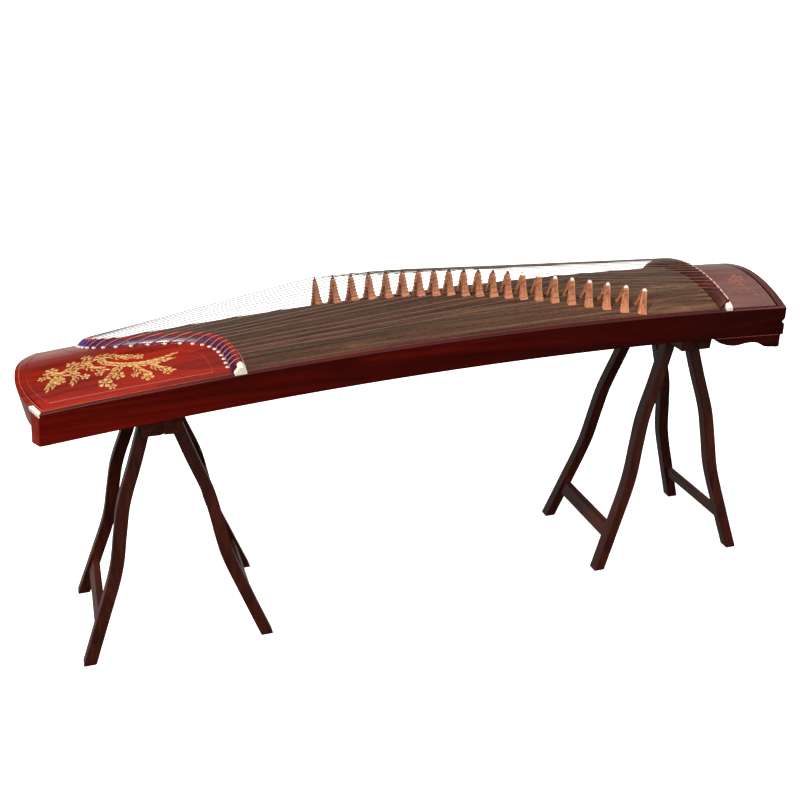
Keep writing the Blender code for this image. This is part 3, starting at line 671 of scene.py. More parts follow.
WOODS = {
    "rosewood_red": dict(
        stops=tones((0.24, 66, 7, 2), (0.42, 122, 20, 6), (0.60, 154, 29, 8),
                    (0.78, 196, 56, 18)),
        bump=0.04, **lacquer(0.15, 0.45, 0.08)),
    "rosewood_dark": dict(
        stops=tones((0.25, 34, 4, 2), (0.45, 74, 9, 3), (0.62, 98, 14, 4), (0.80, 134, 30, 9)),
        figure=(1.6, 22.0), bump=0.04, fades=(PAINTED_SHADE_TO_HEAD,), **lacquer(0.2, 0.45, 0.10)),
    "ridge_red": dict(
        stops=tones((0.3, 96, 10, 6), (0.55, 138, 20, 12), (0.8, 170, 40, 26)),
        **RIDGE, **lacquer(0.25, 0.7, 0.08)),
    "ridge_foot": dict(
        stops=tones((0.3, 56, 8, 26), (0.55, 86, 16, 40), (0.8, 118, 34, 60)),
        fades=(PURPLE_TO_FAR,), **RIDGE, **lacquer(0.3, 1.0, 0.07)),
    # Painted highlight on the upward faces of the head end's rim
    "head_rim": dict(
        stops=tones((0.3, 50, 14, 12), (0.55, 76, 26, 23), (0.8, 100, 42, 37)),
        axis="Y", bump=0.04, **lacquer(0.25, 0.5, 0.15)),
    "head_ridge": dict(
        stops=tones((0.3, 50, 8, 6), (0.55, 80, 14, 9), (0.8, 108, 26, 18)),
        **RIDGE, **lacquer(0.25, 0.5, 0.15)),
    "lid_wood": dict(
        stops=tones((0.25, 80, 42, 38), (0.5, 104, 60, 54), (0.75, 130, 80, 72)),
        rough=(0.34, 0.46), bump=0.10, Coat_Weight=0.8, Coat_Roughness=0.34),
    "spruce_inside": dict(
        stops=tones((0.3, 150, 112, 70), (0.5, 196, 156, 106), (0.7, 214, 178, 128)),
        rough=(0.55, 0.7), pore_color=0.8),
    "bridge_wood": dict(
        stops=tones((0.30, 120, 62, 38), (0.45, 186, 112, 76), (0.62, 214, 142, 102),
                    (0.78, 232, 172, 134)),
        axis="Z", figure=(26.0, 170.0), pores=(260.0, 1800.0), rough=(0.36, 0.5),
        pore_color=0.72, bump=0.12, Specular_IOR_Level=0.4),
    "stand_wood": dict(
        stops=tones((0.28, 34, 10, 5), (0.5, 58, 19, 10), (0.75, 84, 32, 19)),
        axis="Z", **STAND),
    "stand_bar_wood": dict(
        stops=tones((0.28, 38, 12, 6), (0.5, 64, 22, 12), (0.75, 90, 36, 22)),
        axis="Y", **STAND),
    # The pale lines: a seam line over each skirt, and painted edge highlights round the frame
    "pale_inlay": dict(
        stops=tones((0.3, 172, 78, 62), (0.7, 196, 104, 86)),
        fades=(LINE_SHADE_TO_HEAD,), rough=(0.25, 0.4)),
    # The groove round the tail panel: pale as a painted highlight, darkened by its fade into
    # painted shade on the far side
    "groove": dict(
        stops=tones((0.3, 160, 62, 48), (0.7, 184, 88, 70)),
        fades=(GROOVE_SHADE_TO_FAR,), rough=(0.25, 0.4)),
}
SPECKLED = {
    "ridge_line": dict(dark=(204, 140, 124), light=(236, 188, 170), size=200.0,
                       rough=(0.3, 0.45)),
    "horn": dict(dark=(46, 22, 16), light=(84, 46, 34), size=160.0, rough=(0.25, 0.4)),
    "bone": dict(dark=(232, 222, 206), light=(250, 246, 236), size=120.0, rough=(0.22, 0.36),
                 Subsurface_Weight=0.1, Subsurface_Scale=0.003),
    "gold_paint": dict(dark=(158, 98, 42), light=(238, 194, 124), size=190.0,
                       rough=(0.30, 0.5), bump=0.3, depth=0.0002, Metallic=0.25),
    "lid_motif": dict(dark=(118, 62, 54), light=(160, 98, 84), size=500.0,
                      rough=(0.4, 0.55), bump=0.2, depth=0.0002),
    "pin_steel": dict(dark=(150, 150, 152), light=(206, 206, 208), size=700.0,
                      rough=(0.2, 0.34), bump=0.05, depth=0.0001, Metallic=1.0),
    "hinge_brass": dict(dark=(150, 112, 50), light=(206, 166, 92), size=260.0,
                        rough=(0.28, 0.45), bump=0.08, depth=0.0002, Metallic=1.0),
}
WOUND = {
    "wrapping_thread": dict(dark=(98, 56, 78), light=(182, 134, 154), turns=5200.0,
                            rough=(0.22, 0.36), metallic=0.0,
                            fade=(0.0, 0.12, (44, 34, 112), (104, 92, 178))),
    "string_steel": dict(dark=(96, 82, 74), light=(150, 132, 122), turns=7000.0,
                         rough=(0.3, 0.45), metallic=0.4),
    "string_nylon_green": dict(dark=(34, 52, 42), light=(72, 98, 80), turns=7000.0,
                               rough=(0.35, 0.5), metallic=0.1),
    # Bare strings over the red tail nut, painted pink: a painted reflection of the red nut
    "string_root": dict(dark=(196, 92, 78), light=(236, 150, 132), turns=7000.0,
                        rough=(0.3, 0.45), metallic=0.1),
}


def make_materials():
    made = {"paulownia": make_paulownia()}
    for make, looks in ((wood, WOODS), (speckled, SPECKLED), (wound, WOUND)):
        for name, values in looks.items():
            made[name] = make(name, **values)
    return made


def make_paulownia():
    """Scorched and brushed board: dark grain lines, paler fibres between, fine speckle."""
    paint = Paint("paulownia", Specular_IOR_Level=0.25)
    bands = paint.noise((1.3, 70.0, 70.0), 6.0, 0.68, 1.6)
    color = paint.ramp(bands, tones((0.32, 46, 28, 20), (0.48, 84, 57, 42),
                                    (0.60, 106, 78, 58), (0.74, 134, 104, 80)))
    fibre = paint.noise((110.0, 900.0, 900.0), 3.0, 0.7)
    fleck = paint.ramp(fibre, ((0.36, (0.50, 0.48, 0.46)), (0.5, (0.95, 0.95, 0.95)),
                               (0.66, (1.35, 1.32, 1.25))))
    # Darker towards the tail, and a painted reflection that makes the board paler and greyer
    # towards the head
    shade = paint.ramp(paint.fading("X"), ((0.2, (0.80, 0.74, 0.70)), (0.6, (0.84, 0.80, 0.78)),
                                           (0.9, (1.20, 1.22, 1.24))))
    for layer in (fleck, shade):
        color = paint.mix(1.0, color, layer, "MULTIPLY")
    paint.finish(Base_Color=color, Roughness=paint.roughness(fibre, 0.72, 0.5))
    height = paint.math("ADD", paint.math("MULTIPLY", bands, 0.8), fibre)
    paint.bump(height, 0.25, 0.0006)
    return paint.material


# ---------------------------------------------------------------- the soundbox

def rail_shell(side):
    """One long side, from the mitre at the tail's corner to the head end board."""
    outer, inner = side * HALF_WIDTH, side * INNER_HALF
    end = HALF_LENGTH - END_THICKNESS - GAP

    def place(u, v, w):
        start = lerp(-HALF_LENGTH, -HALF_LENGTH + RIM, v) - TAIL_LEAN * (1 - w)
        x, y = lerp(start, end, u), lerp(outer, inner, v)
        return x, y, lerp(arch(max(x, -HALF_LENGTH)), board_top(x, y), w)

    return block((240, 1, 1), place)


def skirt_shell(side):
    """The scalloped strip glued under the head end of a rail."""
    outer, inner = side * HALF_WIDTH, side * INNER_HALF
    start, end = SKIRT_START + 0.003, HALF_LENGTH - END_THICKNESS - GAP

    def place(u, v, w):
        x, y = lerp(start, end, u), lerp(outer, inner, v)
        return x, y, lerp(rail_bottom(x), arch(x) - GAP, w)

    return block((70, 1, 1), place)


def wall_foot(y):
    """How much of the tail wall's arch and undercut a place along it has: none at its posts."""
    return ease((POST_Y - abs(y)) / POST_EDGE)


def wall_lean(y, w):
    """How far along the wall stands in, and how high its lower edge is, at a place across."""
    share = wall_foot(y)
    lean = (UNDERCUT * share - TAIL_LEAN * (1 - share)) * (1 - w)
    rise = share * TAIL_END_ARCH * ease((POST_Y - abs(y)) / ARCH_RUN)
    return lean, arch(-HALF_LENGTH) + rise


def tail_wall_shell():
    """The bowed wall of the tail between its two corner posts."""
    def place(u, v, w):
        outer = lerp(-HALF_WIDTH, HALF_WIDTH, v)
        inner = outer * INNER_HALF / HALF_WIDTH
        lean, bottom = wall_lean(outer, w)
        x = lerp(tail_outside(outer), tail_inside(inner), u) + lean
        y = lerp(outer, inner, u)
        return x, y, lerp(bottom, board_top(x, y), w)

    return block((1, 160, 10), place)


def tail_core_shell():
    """The block behind the wall, under the deck."""
    half = INNER_HALF - GAP
    inside = -HALF_LENGTH + TAIL_END_THICKNESS

    def place(u, v, w):
        y = lerp(-half, half, v)
        lean, bottom = wall_lean(y, w)
        x = lerp(tail_inside(y) - 0.001 + lean, inside, u)
        top = board_top(x, y) - DECK_THICKNESS - GAP
        return x, y, lerp(bottom + 0.0008, top, w)

    return block((2, 60, 1), place)


def corner_cap_shell(side):
    """Bone cap over the top of a tail corner post."""
    def place(u, v, w):
        y = lerp(HALF_WIDTH + 0.0003, POST_Y - 0.003, v)
        outside = tail_outside(min(y, HALF_WIDTH)) - 0.0009
        mitre = min((HALF_WIDTH + 0.0016 - y) / RAIL_THICKNESS, 1.0)
        x = lerp(outside, outside + RIM * mitre + 0.0004, u)
        z = board_top(x, min(y, HALF_WIDTH))
        return x, side * y, z + lerp(-0.0060, 0.0010, w)

    return block((4, 12, 4), place)


def spaced(*stops):
    """Values from stop to stop, each (value, number of steps to the next one)."""
    values = []
    for (value, steps), (following, _) in zip(stops, stops[1:]):
        values += [lerp(value, following, step / steps) for step in range(steps)]
    return values + [stops[-1][0]]


def panel_line(y):
    further_in, edge = PANEL_FLARE
    return tail_outside(y) + PANEL_TAIL + further_in * (abs(y) / edge) ** 4


def tail_panel_mesh():
    """The tail's deck, with the fine groove cut round its panel."""
    half = INNER_HALF - GAP

    def beside(middle, steps):
        return (middle - GROOVE_HALF, 1), (middle, 1), (middle + GROOVE_HALF, steps)

    rows = spaced((-half, 3), *beside(PANEL_NEAR, 70), *beside(PANEL_FAR, 6), (half, 0))
    columns = [spaced((tail_inside(y) + PALE_LINE_HALF, 1), *beside(panel_line(y), 46),
                      *beside(ridge_x(y, PANEL_ROW), 22), (ridge_x(y) - GAP, 0))
               for y in rows]
    wide = len(columns[0])
    tail_column = columns[0].index(panel_line(rows[0]))
    row_column = columns[0].index(ridge_x(rows[0], PANEL_ROW))
    near_row, far_row = rows.index(PANEL_NEAR), rows.index(PANEL_FAR)

    def slanted(y, share):
        """Y of a row part of the way along: the near line closes in towards the tail."""
        if y <= PANEL_NEAR:
            width = (y + half) / (PANEL_NEAR + half)
        else:
            width = (PANEL_FAR - y) / (PANEL_FAR - PANEL_NEAR)
        return y + PANEL_SLANT * max(width, 0.0) * (1 - share)

    def place(u, v, w):
        column, row = round(u * (wide - 1)), round(v * (len(rows) - 1))
        x, y = columns[row][column], slanted(rows[row], column / wide)
        on_column = column in (tail_column, row_column) and near_row <= row <= far_row
        on_row = row in (near_row, far_row) and tail_column <= column <= row_column
        depth = GROOVE_DEPTH if on_column or on_row else 0.0
        return x, y, board_top(x, y) - (depth if w else DECK_THICKNESS)

    mesh = Build().add(block((wide - 1, len(rows) - 1, 1), place)).mesh("tail_panel", 30)
    for face in mesh.polygons:
        corners = [mesh.vertices[index].co for index in face.vertices]
        depths = [board_top(corner.x, corner.y) - corner.z for corner in corners]
        sunk = any(GROOVE_DEPTH / 2 < depth < 2 * GROOVE_DEPTH for depth in depths)
        face.material_index = int(sunk)
    return mesh


def string_hole_cutter():
    """One closed cylinder per string hole, to be cut out of the deck."""
    build = Build()
    for number in range(STRING_COUNT):
        y = string_y(number)
        x = hole_row(y)
        place = Matrix.Translation((x, y, board_top(x, y)))
        build.add(lathe(((0, -0.02), (HOLE_RADIUS, -0.02), (HOLE_RADIUS, 0.01), (0, 0.01)),
                        16, place))
    obj = bpy.data.objects.new("string_hole_cutter", build.mesh("string_hole_cutter"))
    bpy.context.scene.collection.objects.link(obj)
    obj.matrix_world = INSTRUMENT
    return obj


def cut_holes(obj):
    """Cut the string holes out of the deck for good, then throw the cutter away."""
    cutter = string_hole_cutter()
    modifier = obj.modifiers.new("string_holes", "BOOLEAN")
    modifier.operation = "DIFFERENCE"
    modifier.solver = "EXACT"
    modifier.object = cutter
    bpy.context.view_layer.update()
    graph = bpy.context.evaluated_depsgraph_get()
    mesh = bpy.data.meshes.new_from_object(obj.evaluated_get(graph))
    obj.modifiers.clear()
    obj.data = mesh
    bpy.data.objects.remove(cutter, do_unlink=True)


def soundboard_shell():
    half = INNER_HALF - GAP

    def place(u, v, w):
        y = lerp(-half, half, v)
        x = lerp(ridge_x(y) + GAP, nut_crest(y) + NUT_BACK, u)
        top = board_top(x, y) - BOARD_RECESS
        return x, y, lerp(top - BOARD_THICKNESS, top, w)

    return block((140, 70, 1), place)


def tail_nut_shell():
    reach = INNER_HALF - 0.001

    def place(u, v, w):
        across = lerp(SLOPE_START, RIDGE_FRONT, u)
        x, y = ridge_point(along_row(v), across)
        y = min(max(y, -reach), reach)
        return x, y, board_top(x, y) - BOARD_RECESS + w * (ridge_profile(across) + BOARD_RECESS)

    return block((22, 150, 1), place)


def ridge_line(across, first=0.0, last=1.0, count=150):
    """A plan path beside the tail nut."""
    return [ridge_point(along_row(lerp(first, last, t / count)), across)
            for t in range(count + 1)]


def nut_end_cap_shell(side):
    """Bone wedge that closes one end of the tail nut."""
    end = RIDGE_ENDS[0] if side < 0 else RIDGE_ENDS[1]

    def place(u, v, w):
        across = lerp(NUT_CAP_PROFILE[0][0], NUT_CAP_PROFILE[-1][0], u)
        x, y = ridge_point(end - side * lerp(0.008, -0.012, v), across)
        y = min(max(y, -HALF_WIDTH + 0.0015), HALF_WIDTH - 0.0015)
        swell = smooth_path(NUT_CAP_PROFILE, across)
        return x, y, board_top(x, y) - 0.0005 + w * swell

    return block((18, 10, 1), place)


def head_nut_shell():
    """The head nut: a hollowed slope facing the strings and a narrow crest."""
    half = INNER_HALF - 0.001
    profile = ((-0.020, 0.0020), (-0.014, 0.0085), (-0.007, 0.0150),
               (-SADDLE_HALF_WIDTH, NUT_HEIGHT), (NUT_BACK, NUT_HEIGHT))

    def place(u, v, w):
        y = lerp(-half, half, v)
        across = lerp(-0.020, NUT_BACK, u)
        x = nut_crest(y) + across
        height = min(smooth_path(profile, across), NUT_HEIGHT)
        return x, y, board_top(x, y) - BOARD_RECESS + w * (height + BOARD_RECESS)

    return block((16, 60, 1), place)


def saddle_shell():
    half = INNER_HALF - 0.003

    def place(u, v, w):
        y = lerp(-half, half, v)
        x = nut_crest(y) + lerp(-SADDLE_HALF_WIDTH, SADDLE_HALF_WIDTH, u)
        bottom = board_top(nut_crest(y), y) + NUT_HEIGHT
        return x, y, bottom + w * (SADDLE_HEIGHT - 0.0002)

    return block((1, 60, 1), place)


def head_cap_shell(side):
    """Rounded bone block at one end of the head nut."""
    def place(u, v, w):
        across, along = 2 * u - 1, 2 * v - 1
        y = side * lerp(*HEAD_CAP_Y, v)
        x = nut_crest(y) + lerp(*HEAD_CAP_X, u)
        bulge = (1 - 0.35 * across ** 4) * (1 - 0.35 * along ** 4)
        return x, y, board_top(x, y) - 0.001 + w * HEAD_CAP_HEIGHT * bulge

    return block((8, 8, 4), place)


def lid_shell():
    half = INNER_HALF - 2 * GAP
    end = HALF_LENGTH - END_THICKNESS - LID_GAP

    def place(u, v, w):
        y = lerp(-half, half, v)
        x = lerp(nut_crest(y) + LID_SLOT, end, u)
        top = board_top(x, y)
        return x, y, lerp(top - LID_THICKNESS, top, w)

    return block((30, 60, 1), place)


def head_end_shell():
    low_edge, bottom, high_edge = NOTCH_HEIGHTS
    set_back = (True, True, False, False, True, False, False)

    def place(u, v, w):
        y = lerp(-HALF_WIDTH, HALF_WIDTH, v)
        x = lerp(HALF_LENGTH - END_THICKNESS, HALF_LENGTH, u)
        base = arch(x)
        heights = (rail_bottom(HALF_LENGTH), base, base + GAP, base + low_edge, base + bottom,
                   base + high_edge, board_top(x, y))
        level = round(w * (len(heights) - 1))
        return x - u * NOTCH_DEPTH * set_back[level], y, heights[level]

    return block((1, 60, len(set_back) - 1), place)


def make_soundbox(paint):
    box = "soundbox"
    red, dark, pale_lines = paint["rosewood_red"], paint["rosewood_dark"], paint["pale_inlay"]
    for side, word in ((-1, "near"), (1, "far")):
        add_piece(f"side_wall_{word}", rail_shell(side), box, "rosewood_dark", [dark],
                  [f"side_rail_{word}"], bevel=0.0012)
        add_piece(f"skirt_{word}", skirt_shell(side), box, "rosewood_dark", [dark],
                  bevel=0.0007)
        seam = [(x, side * (HALF_WIDTH + 0.00005), arch(x) - 0.0001)
                for x in evenly(SKIRT_START + 0.008, HALF_LENGTH - 0.012, 40)]
        add_piece(f"skirt_line_{word}", tube(seam, 0.00045), box, "pale_inlay", [pale_lines])
        for name, shell, bevel in (("tail_corner_cap", corner_cap_shell, 0.0022),
                                   ("tail_nut_cap", nut_end_cap_shell, 0.0018),
                                   ("head_nut_cap", head_cap_shell, 0.0028)):
            add_piece(f"{name}_{word}", shell(side), box, "bone", [paint["bone"]], bevel=bevel)
    add_piece("tail_wall", tail_wall_shell(), box, "rosewood_red", [red], ["tail_end_board"],
              bevel=0.0011)
    add_piece("tail_core", tail_core_shell(), box, "rosewood_red", [red])
    cut_holes(add_piece("tail_panel", tail_panel_mesh(), box, "rosewood_red",
                        [red, paint["groove"]], ["tail_deck"]))
    add_piece("scorched_soundboard", soundboard_shell(), box, "paulownia",
              [paint["paulownia"]], ["soundboard"], bevel=0.0006)
    ridge = add_piece("tail_ridge", tail_nut_shell(), box, "rosewood_red",
                      [paint["ridge_red"], paint["ridge_foot"]], ["tail_nut"], sharp=50)
    for face in ridge.data.polygons:
        face.material_index = int(face.center.x < ridge_x(face.center.y, WRAP_END))
    line = ribbon(ridge_line(0.0120, 0.01, 0.99), 0.0011, -0.0004, 0.0016)
    add_piece("tail_ridge_line", line, box, "pale_inlay", [paint["ridge_line"]],
              bevel=0.0005, segments=2)
    add_piece("head_ridge", head_nut_shell(), box, "rosewood_dark", [paint["head_ridge"]],
              ["head_nut"], bevel=0.0005)
    add_piece("head_saddle", saddle_shell(), box, "bone", [paint["ridge_line"]],
              bevel=0.0008)
    end = add_piece("head_end", head_end_shell(), box, "rosewood_dark",
                    [dark, paint["head_rim"]], ["head_end_board"], bevel=0.0008)
    # The head end's upward faces near its top take the lighter material: a painted highlight
    for face in end.data.polygons:
        rim = board_top(face.center.x, face.center.y) - RIM_DEPTH
        face.material_index = int(face.normal.z > FACES_UP and face.center.z > rim)
    make_rim_lines(paint)
    make_eyelets(paint)
    for name in ("bottom_board", "pin_block"):
        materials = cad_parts[name].data.materials
        materials.clear()
        materials.append(paint["spruce_inside"])


def make_rim_lines(paint):
    """Pale lines where the deck and the soundboard meet the frame, and along the rails' top edges
    at the head: painted edge highlights.
    """
    plans = [[(tail_inside(y), y) for y in evenly(-INNER_HALF, INNER_HALF, 90)]]
    for side in (-1, 1):
        plans.append([(x, side * INNER_HALF)
                      for x in evenly(tail_inside(INNER_HALF), NUT_X - 0.012, 160)])
        plans.append([(x, side * (HALF_WIDTH - 0.0016))
                      for x in evenly(NUT_X + 0.022, HALF_LENGTH - 0.004, 30)])
    lines = Build()
    for plan in plans:
        lines.add(ribbon(plan, PALE_LINE_HALF, -0.001, PALE_LINE_PROUD))
    add_piece("rim_lines", lines, "soundbox", "pale_inlay", [paint["pale_inlay"]])


def make_eyelets(paint):
    """A white eyelet round each string hole in the deck."""
    eyelets = Build()
    for number in range(STRING_COUNT):
        y = string_y(number)
        x = hole_row(y)
        eyelets.add(ring((x, y, board_top(x, y) + 0.0006), *EYELET))
    add_piece("eyelets", eyelets, "soundbox", "bone", [paint["bone"]])


# ---------------------------------------------------------------- the decoration

PETALS = 5
PETAL_HEIGHTS = (0.0001, 0.0009)        # at a petal's edge, and along its middle


def petal_shell(base, heading, length, width, curl=0.0, blunt=1.0):
    """A leaf or petal lying on the deck, thicker along its middle."""
    def place(u, v, w):
        turn = heading + curl * (u - 0.5)
        side = 2 * v - 1
        reach = width / 2 * max(math.sin(math.pi * u ** blunt) ** 0.8, 0.10)
        x = base[0] + u * length * math.cos(turn) - side * reach * math.sin(turn)
        y = base[1] + u * length * math.sin(turn) + side * reach * math.cos(turn)
        swell = lerp(*PETAL_HEIGHTS, 1 - side * side)
        return x, y, board_top(x, y) + (swell if w else -0.0004)

    return block((8, 4, 1), place)


def blossom(build, middle, size, turn):
    for petal in range(PETALS):
        heading = turn + 2 * math.pi * petal / PETALS
        base = (middle[0] + 0.12 * size * math.cos(heading),
                middle[1] + 0.12 * size * math.sin(heading))
        build.add(petal_shell(base, heading, 0.42 * size, 0.36 * size, blunt=1.5))
    build.add(lathe(((0, -0.0004), (0.09 * size, -0.0004), (0.08 * size, 0.0008),
                     (0.04 * size, 0.0013), (0, 0.0013)), 10,
                    Matrix.Translation((*middle, board_top(*middle)))))


def stem(build, points, width):
    """A smooth stem through plan points, tapering to its end. Returns its places."""
    stations = [(index / (len(points) - 1), point) for index, point in enumerate(points)]
    path = [tuple(smooth_path([(s, point[axis]) for s, point in stations], at)
                  for axis in (0, 1))
            for at in evenly(0.0, 1.0, 10 * (len(points) - 1))]
    build.add(ribbon(path, lambda u: width * (1 - 0.6 * u), -0.0004, 0.0006))
    return path


def leafy_stem(build, points, leaf, every, spread, width):
    """A stem with leaves alternating along it, shorter towards its end."""
    path = stem(build, points, width)
    side = 1
    for index in range(1, len(path) - 1, every):
        here, there = path[index], path[index + 1]
        heading = math.atan2(there[1] - here[1], there[0] - here[0]) + side * spread
        size = leaf * (1 - 0.4 * index / len(path))
        build.add(petal_shell(here, heading, size, size * 0.30, curl=-side * 0.7))
        side = -side
    here, there = path[-2], path[-1]
    heading = math.atan2(there[1] - here[1], there[0] - here[0])
    build.add(petal_shell(there, heading, leaf * 0.8, leaf * 0.24))


# Each stem's leaf length, spread of its leaves, half width, and plan points
BRANCH_STEMS = (
    (0.024, 0.9, 0.0016, ((-0.782, -0.030), (-0.752, -0.046), (-0.722, -0.030),
                          (-0.692, -0.008), (-0.662, -0.004), (-0.636, -0.026))),
    (0.020, 0.9, 0.0011, ((-0.750, -0.050), (-0.762, -0.068), (-0.772, -0.086))),
    (0.017, 0.9, 0.0011, ((-0.735, -0.040), (-0.722, -0.062), (-0.728, -0.084))),
    (0.019, 0.9, 0.0011, ((-0.705, -0.018), (-0.694, -0.044), (-0.672, -0.058))),
    (0.021, 0.55, 0.0011, ((-0.676, -0.004), (-0.668, -0.030), (-0.648, -0.048),
                           (-0.618, -0.064), (-0.586, -0.072), (-0.552, -0.070))),
    (0.018, 0.4, 0.0011, ((-0.640, -0.052), (-0.604, -0.062), (-0.572, -0.062),
                          (-0.542, -0.054))),
    (0.017, 0.9, 0.0011, ((-0.640, -0.056), (-0.652, -0.078), (-0.668, -0.098))),
    (0.015, 0.9, 0.0011, ((-0.616, -0.066), (-0.606, -0.088), (-0.592, -0.104))),
    (0.015, 0.9, 0.0011, ((-0.586, -0.074), (-0.572, -0.092), (-0.550, -0.104))),
    (0.014, 0.9, 0.0011, ((-0.646, -0.018), (-0.622, -0.026), (-0.604, -0.040))))
SPRIG_STEMS = (
    (0.013, 0.9, 0.0008, ((0.742, -0.066), (0.724, -0.076), (0.706, -0.100))),
    (0.013, 0.9, 0.0008, ((0.722, -0.078), (0.726, -0.096), (0.738, -0.112))))
# Each blossom's place in plan and its width
BRANCH_BLOSSOMS = ((-0.672, -0.106, 0.026), (-0.646, -0.092, 0.024), (-0.660, -0.122, 0.016),
                   (-0.594, -0.112, 0.024), (-0.616, -0.100, 0.015), (-0.556, -0.108, 0.019),
                   (-0.602, -0.036, 0.019), (-0.728, -0.010, 0.022), (-0.700, 0.010, 0.018),
                   (-0.766, -0.022, 0.024), (-0.752, -0.070, 0.022), (-0.706, -0.072, 0.018),
                   (-0.784, -0.048, 0.016), (-0.680, -0.072, 0.016))


def make_decoration(paint):
    """A flowering branch of gold on the tail panel, and a faint sprig on the lid."""
    gold, sprig = Build(), Build()
    for build, stems, every in ((gold, BRANCH_STEMS, 2), (sprig, SPRIG_STEMS, 4)):
        for leaf, spread, width, points in stems:
            leafy_stem(build, points, leaf, every, spread, width)
    for number, (x, y, size) in enumerate(BRANCH_BLOSSOMS):
        blossom(gold, (x, y), size, 0.7 * number)
    blossom(sprig, (0.734, -0.050), 0.030, 0.3)
    blossom(sprig, (0.712, -0.062), 0.018, 1.1)
    add_piece("gold_branch", gold, "soundbox", "gold_paint", [paint["gold_paint"]], sharp=60)
    add_piece("lid_sprig", sprig, "lid", "lid_wood", [paint["lid_motif"]], sharp=60)


# ---------------------------------------------------------------- lid, strings and pins

def make_lid(paint):
    add_piece("pin_lid", lid_shell(), "lid", "lid_wood", [paint["lid_wood"]],
              ["tuning_box_lid"], bevel=0.0008)


def nut_rest(y, across, lift):
    x = ridge_x(y, across)
    return x, y, board_top(x, y) + ridge_profile(across) + lift


def bridge_tip(number):
    x, y = bridge_x(number), string_y(number)
    return x, y, board_top(x, y) + bridge_height(number) + STRING_RADIUS


def saddle_rest(number):
    y = string_y(number)
    x = nut_crest(y)
    return x, y, board_top(x, y) + NUT_HEIGHT + SADDLE_HEIGHT + STRING_RADIUS


def straight(a, b, count):
    return [tuple(Vector(a).lerp(Vector(b), step / count)) for step in range(count + 1)]


def make_strings(paint):
    """Each string in two straight halves that meet at its bridge's tip, and its fixed ends."""
    wraps, roots, heads, greens = Build(), Build(), Build(), Build()
    for number in range(STRING_COUNT):
        y = string_y(number)
        radius = graded(STRING_RADII, number)
        green = number % GREEN_EVERY == 0
        slot = "string_nylon_green" if green else "string_steel"
        hole = hole_row(y)
        wrap = [(hole, y, board_top(hole, y) - 0.003),
                (hole + 0.0004, y, board_top(hole, y) + 0.0006)]
        wrap += [nut_rest(y, across, WRAP_RADIUS) for across in evenly(SLOPE_START, WRAP_END, 8)]
        wraps.add(tube(wrap, lambda u: WRAP_RADIUS * (1 - 0.25 * u * u), 10))
        over = [nut_rest(y, across, radius + 0.0004)
                for across in evenly(WRAP_END - 0.001, RIDGE_CREST, 5)]
        roots.add(tube(over, radius * 1.15, 6))
        crest, tip, rest = over[-1], bridge_tip(number), saddle_rest(number)
        for word, fixed in (("tail", crest), ("head", rest)):
            piece = add_piece(f"string_{number + 1:02d}_{word}",
                              tube(straight(fixed, tip, 24), radius, 6), None, slot,
                              [paint[slot]], keep=False)
            INSTRUMENT @ Vector(fixed)
            INSTRUMENT @ Vector(tip)
            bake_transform(piece)
        slot_x = rest[0] + (NUT_BACK + LID_SLOT) / 2
        low = board_top(slot_x, y) - LID_THICKNESS - 0.006
        tuning_x = pin_x(number)
        end = [rest, (rest[0] + 0.003, y, rest[2] - 0.0012),
               (slot_x - 0.001, y, rest[2] - 0.006), (slot_x, y, low + 0.002),
               (slot_x + 0.002, y, low),
               (tuning_x - 0.004, y + 0.0024, block_top(tuning_x, y) + 0.0095),
               (tuning_x, y + PIN_RADIUS + radius, block_top(tuning_x, y) + 0.009)]
        (greens if green else heads).add(tube(end, radius, 6))
    add_piece("thread_wraps", wraps, "soundbox", "wrapping_thread",
              [paint["wrapping_thread"]], ["strings"], sharp=60)
    for name, build, slot, look in (
            ("string_tail_ends", roots, "string_steel", "string_root"),
            ("string_head_ends", heads, "string_steel", "string_steel"),
            ("string_green_ends", greens, "string_nylon_green", "string_nylon_green")):
        add_piece(name, build, "soundbox", slot, [paint[look]], sharp=60)


# A bridge's half outline from its foot to its top: outside and inside, as shares
BRIDGE_OUTSIDE = ((1.0, 0.0), (0.88, 0.06), (0.74, 0.17), (0.60, 0.33), (0.51, 0.50),
                  (0.44, 0.66), (0.33, 0.80), (0.22, 0.88), (0.0, 0.90))
BRIDGE_INSIDE = ((0.46, 0.0), (0.42, 0.08), (0.37, 0.17), (0.31, 0.26), (0.25, 0.33),
                 (0.19, 0.385), (0.13, 0.425), (0.06, 0.45), (0.0, 0.455))


def outline_at(points, share):
    """A smooth curve through outline points, by a share of the way along them."""
    places = [index / (len(points) - 1) for index in range(len(points))]
    return tuple(smooth_path([(s, point[axis]) for s, point in zip(places, points)], share)
                 for axis in (0, 1))


def bridge_shell(number):
    """An A-shaped bridge, hollowed between its legs, thinner towards its top."""
    height = bridge_height(number) + GAP
    spread = bridge_spread(number)
    foot, tip = graded(BRIDGE_FEET, number), graded(BRIDGE_TOPS, number)
    x0, y0 = bridge_x(number), string_y(number)
    base = board_top(x0, y0)

    def place(u, v, w):
        side = 1 if u > 0.5 else -1
        share = 1 - abs(2 * u - 1)
        outside, inside = outline_at(BRIDGE_OUTSIDE, share), outline_at(BRIDGE_INSIDE, share)
        across = side * lerp(inside[0], outside[0], v) * spread
        up = max(lerp(inside[1], outside[1], v) * height, 0.0)
        waist = 1 - 0.10 * math.sin(math.pi * min(up / height / 0.9, 1.0))
        thick = lerp(foot, tip, (up / height) ** 0.9) * waist
        swell = 1 - 0.08 * (2 * v - 1) ** 2
        x, y = askew(number, (w - 0.5) * thick * swell, across, up / height)
        rest = max(1 - up / (0.42 * height), 0.0)
        return x, y, up + rest * (board_top(x0 + x, y0 + y) - base)

    return block((40, 3, 4), place)


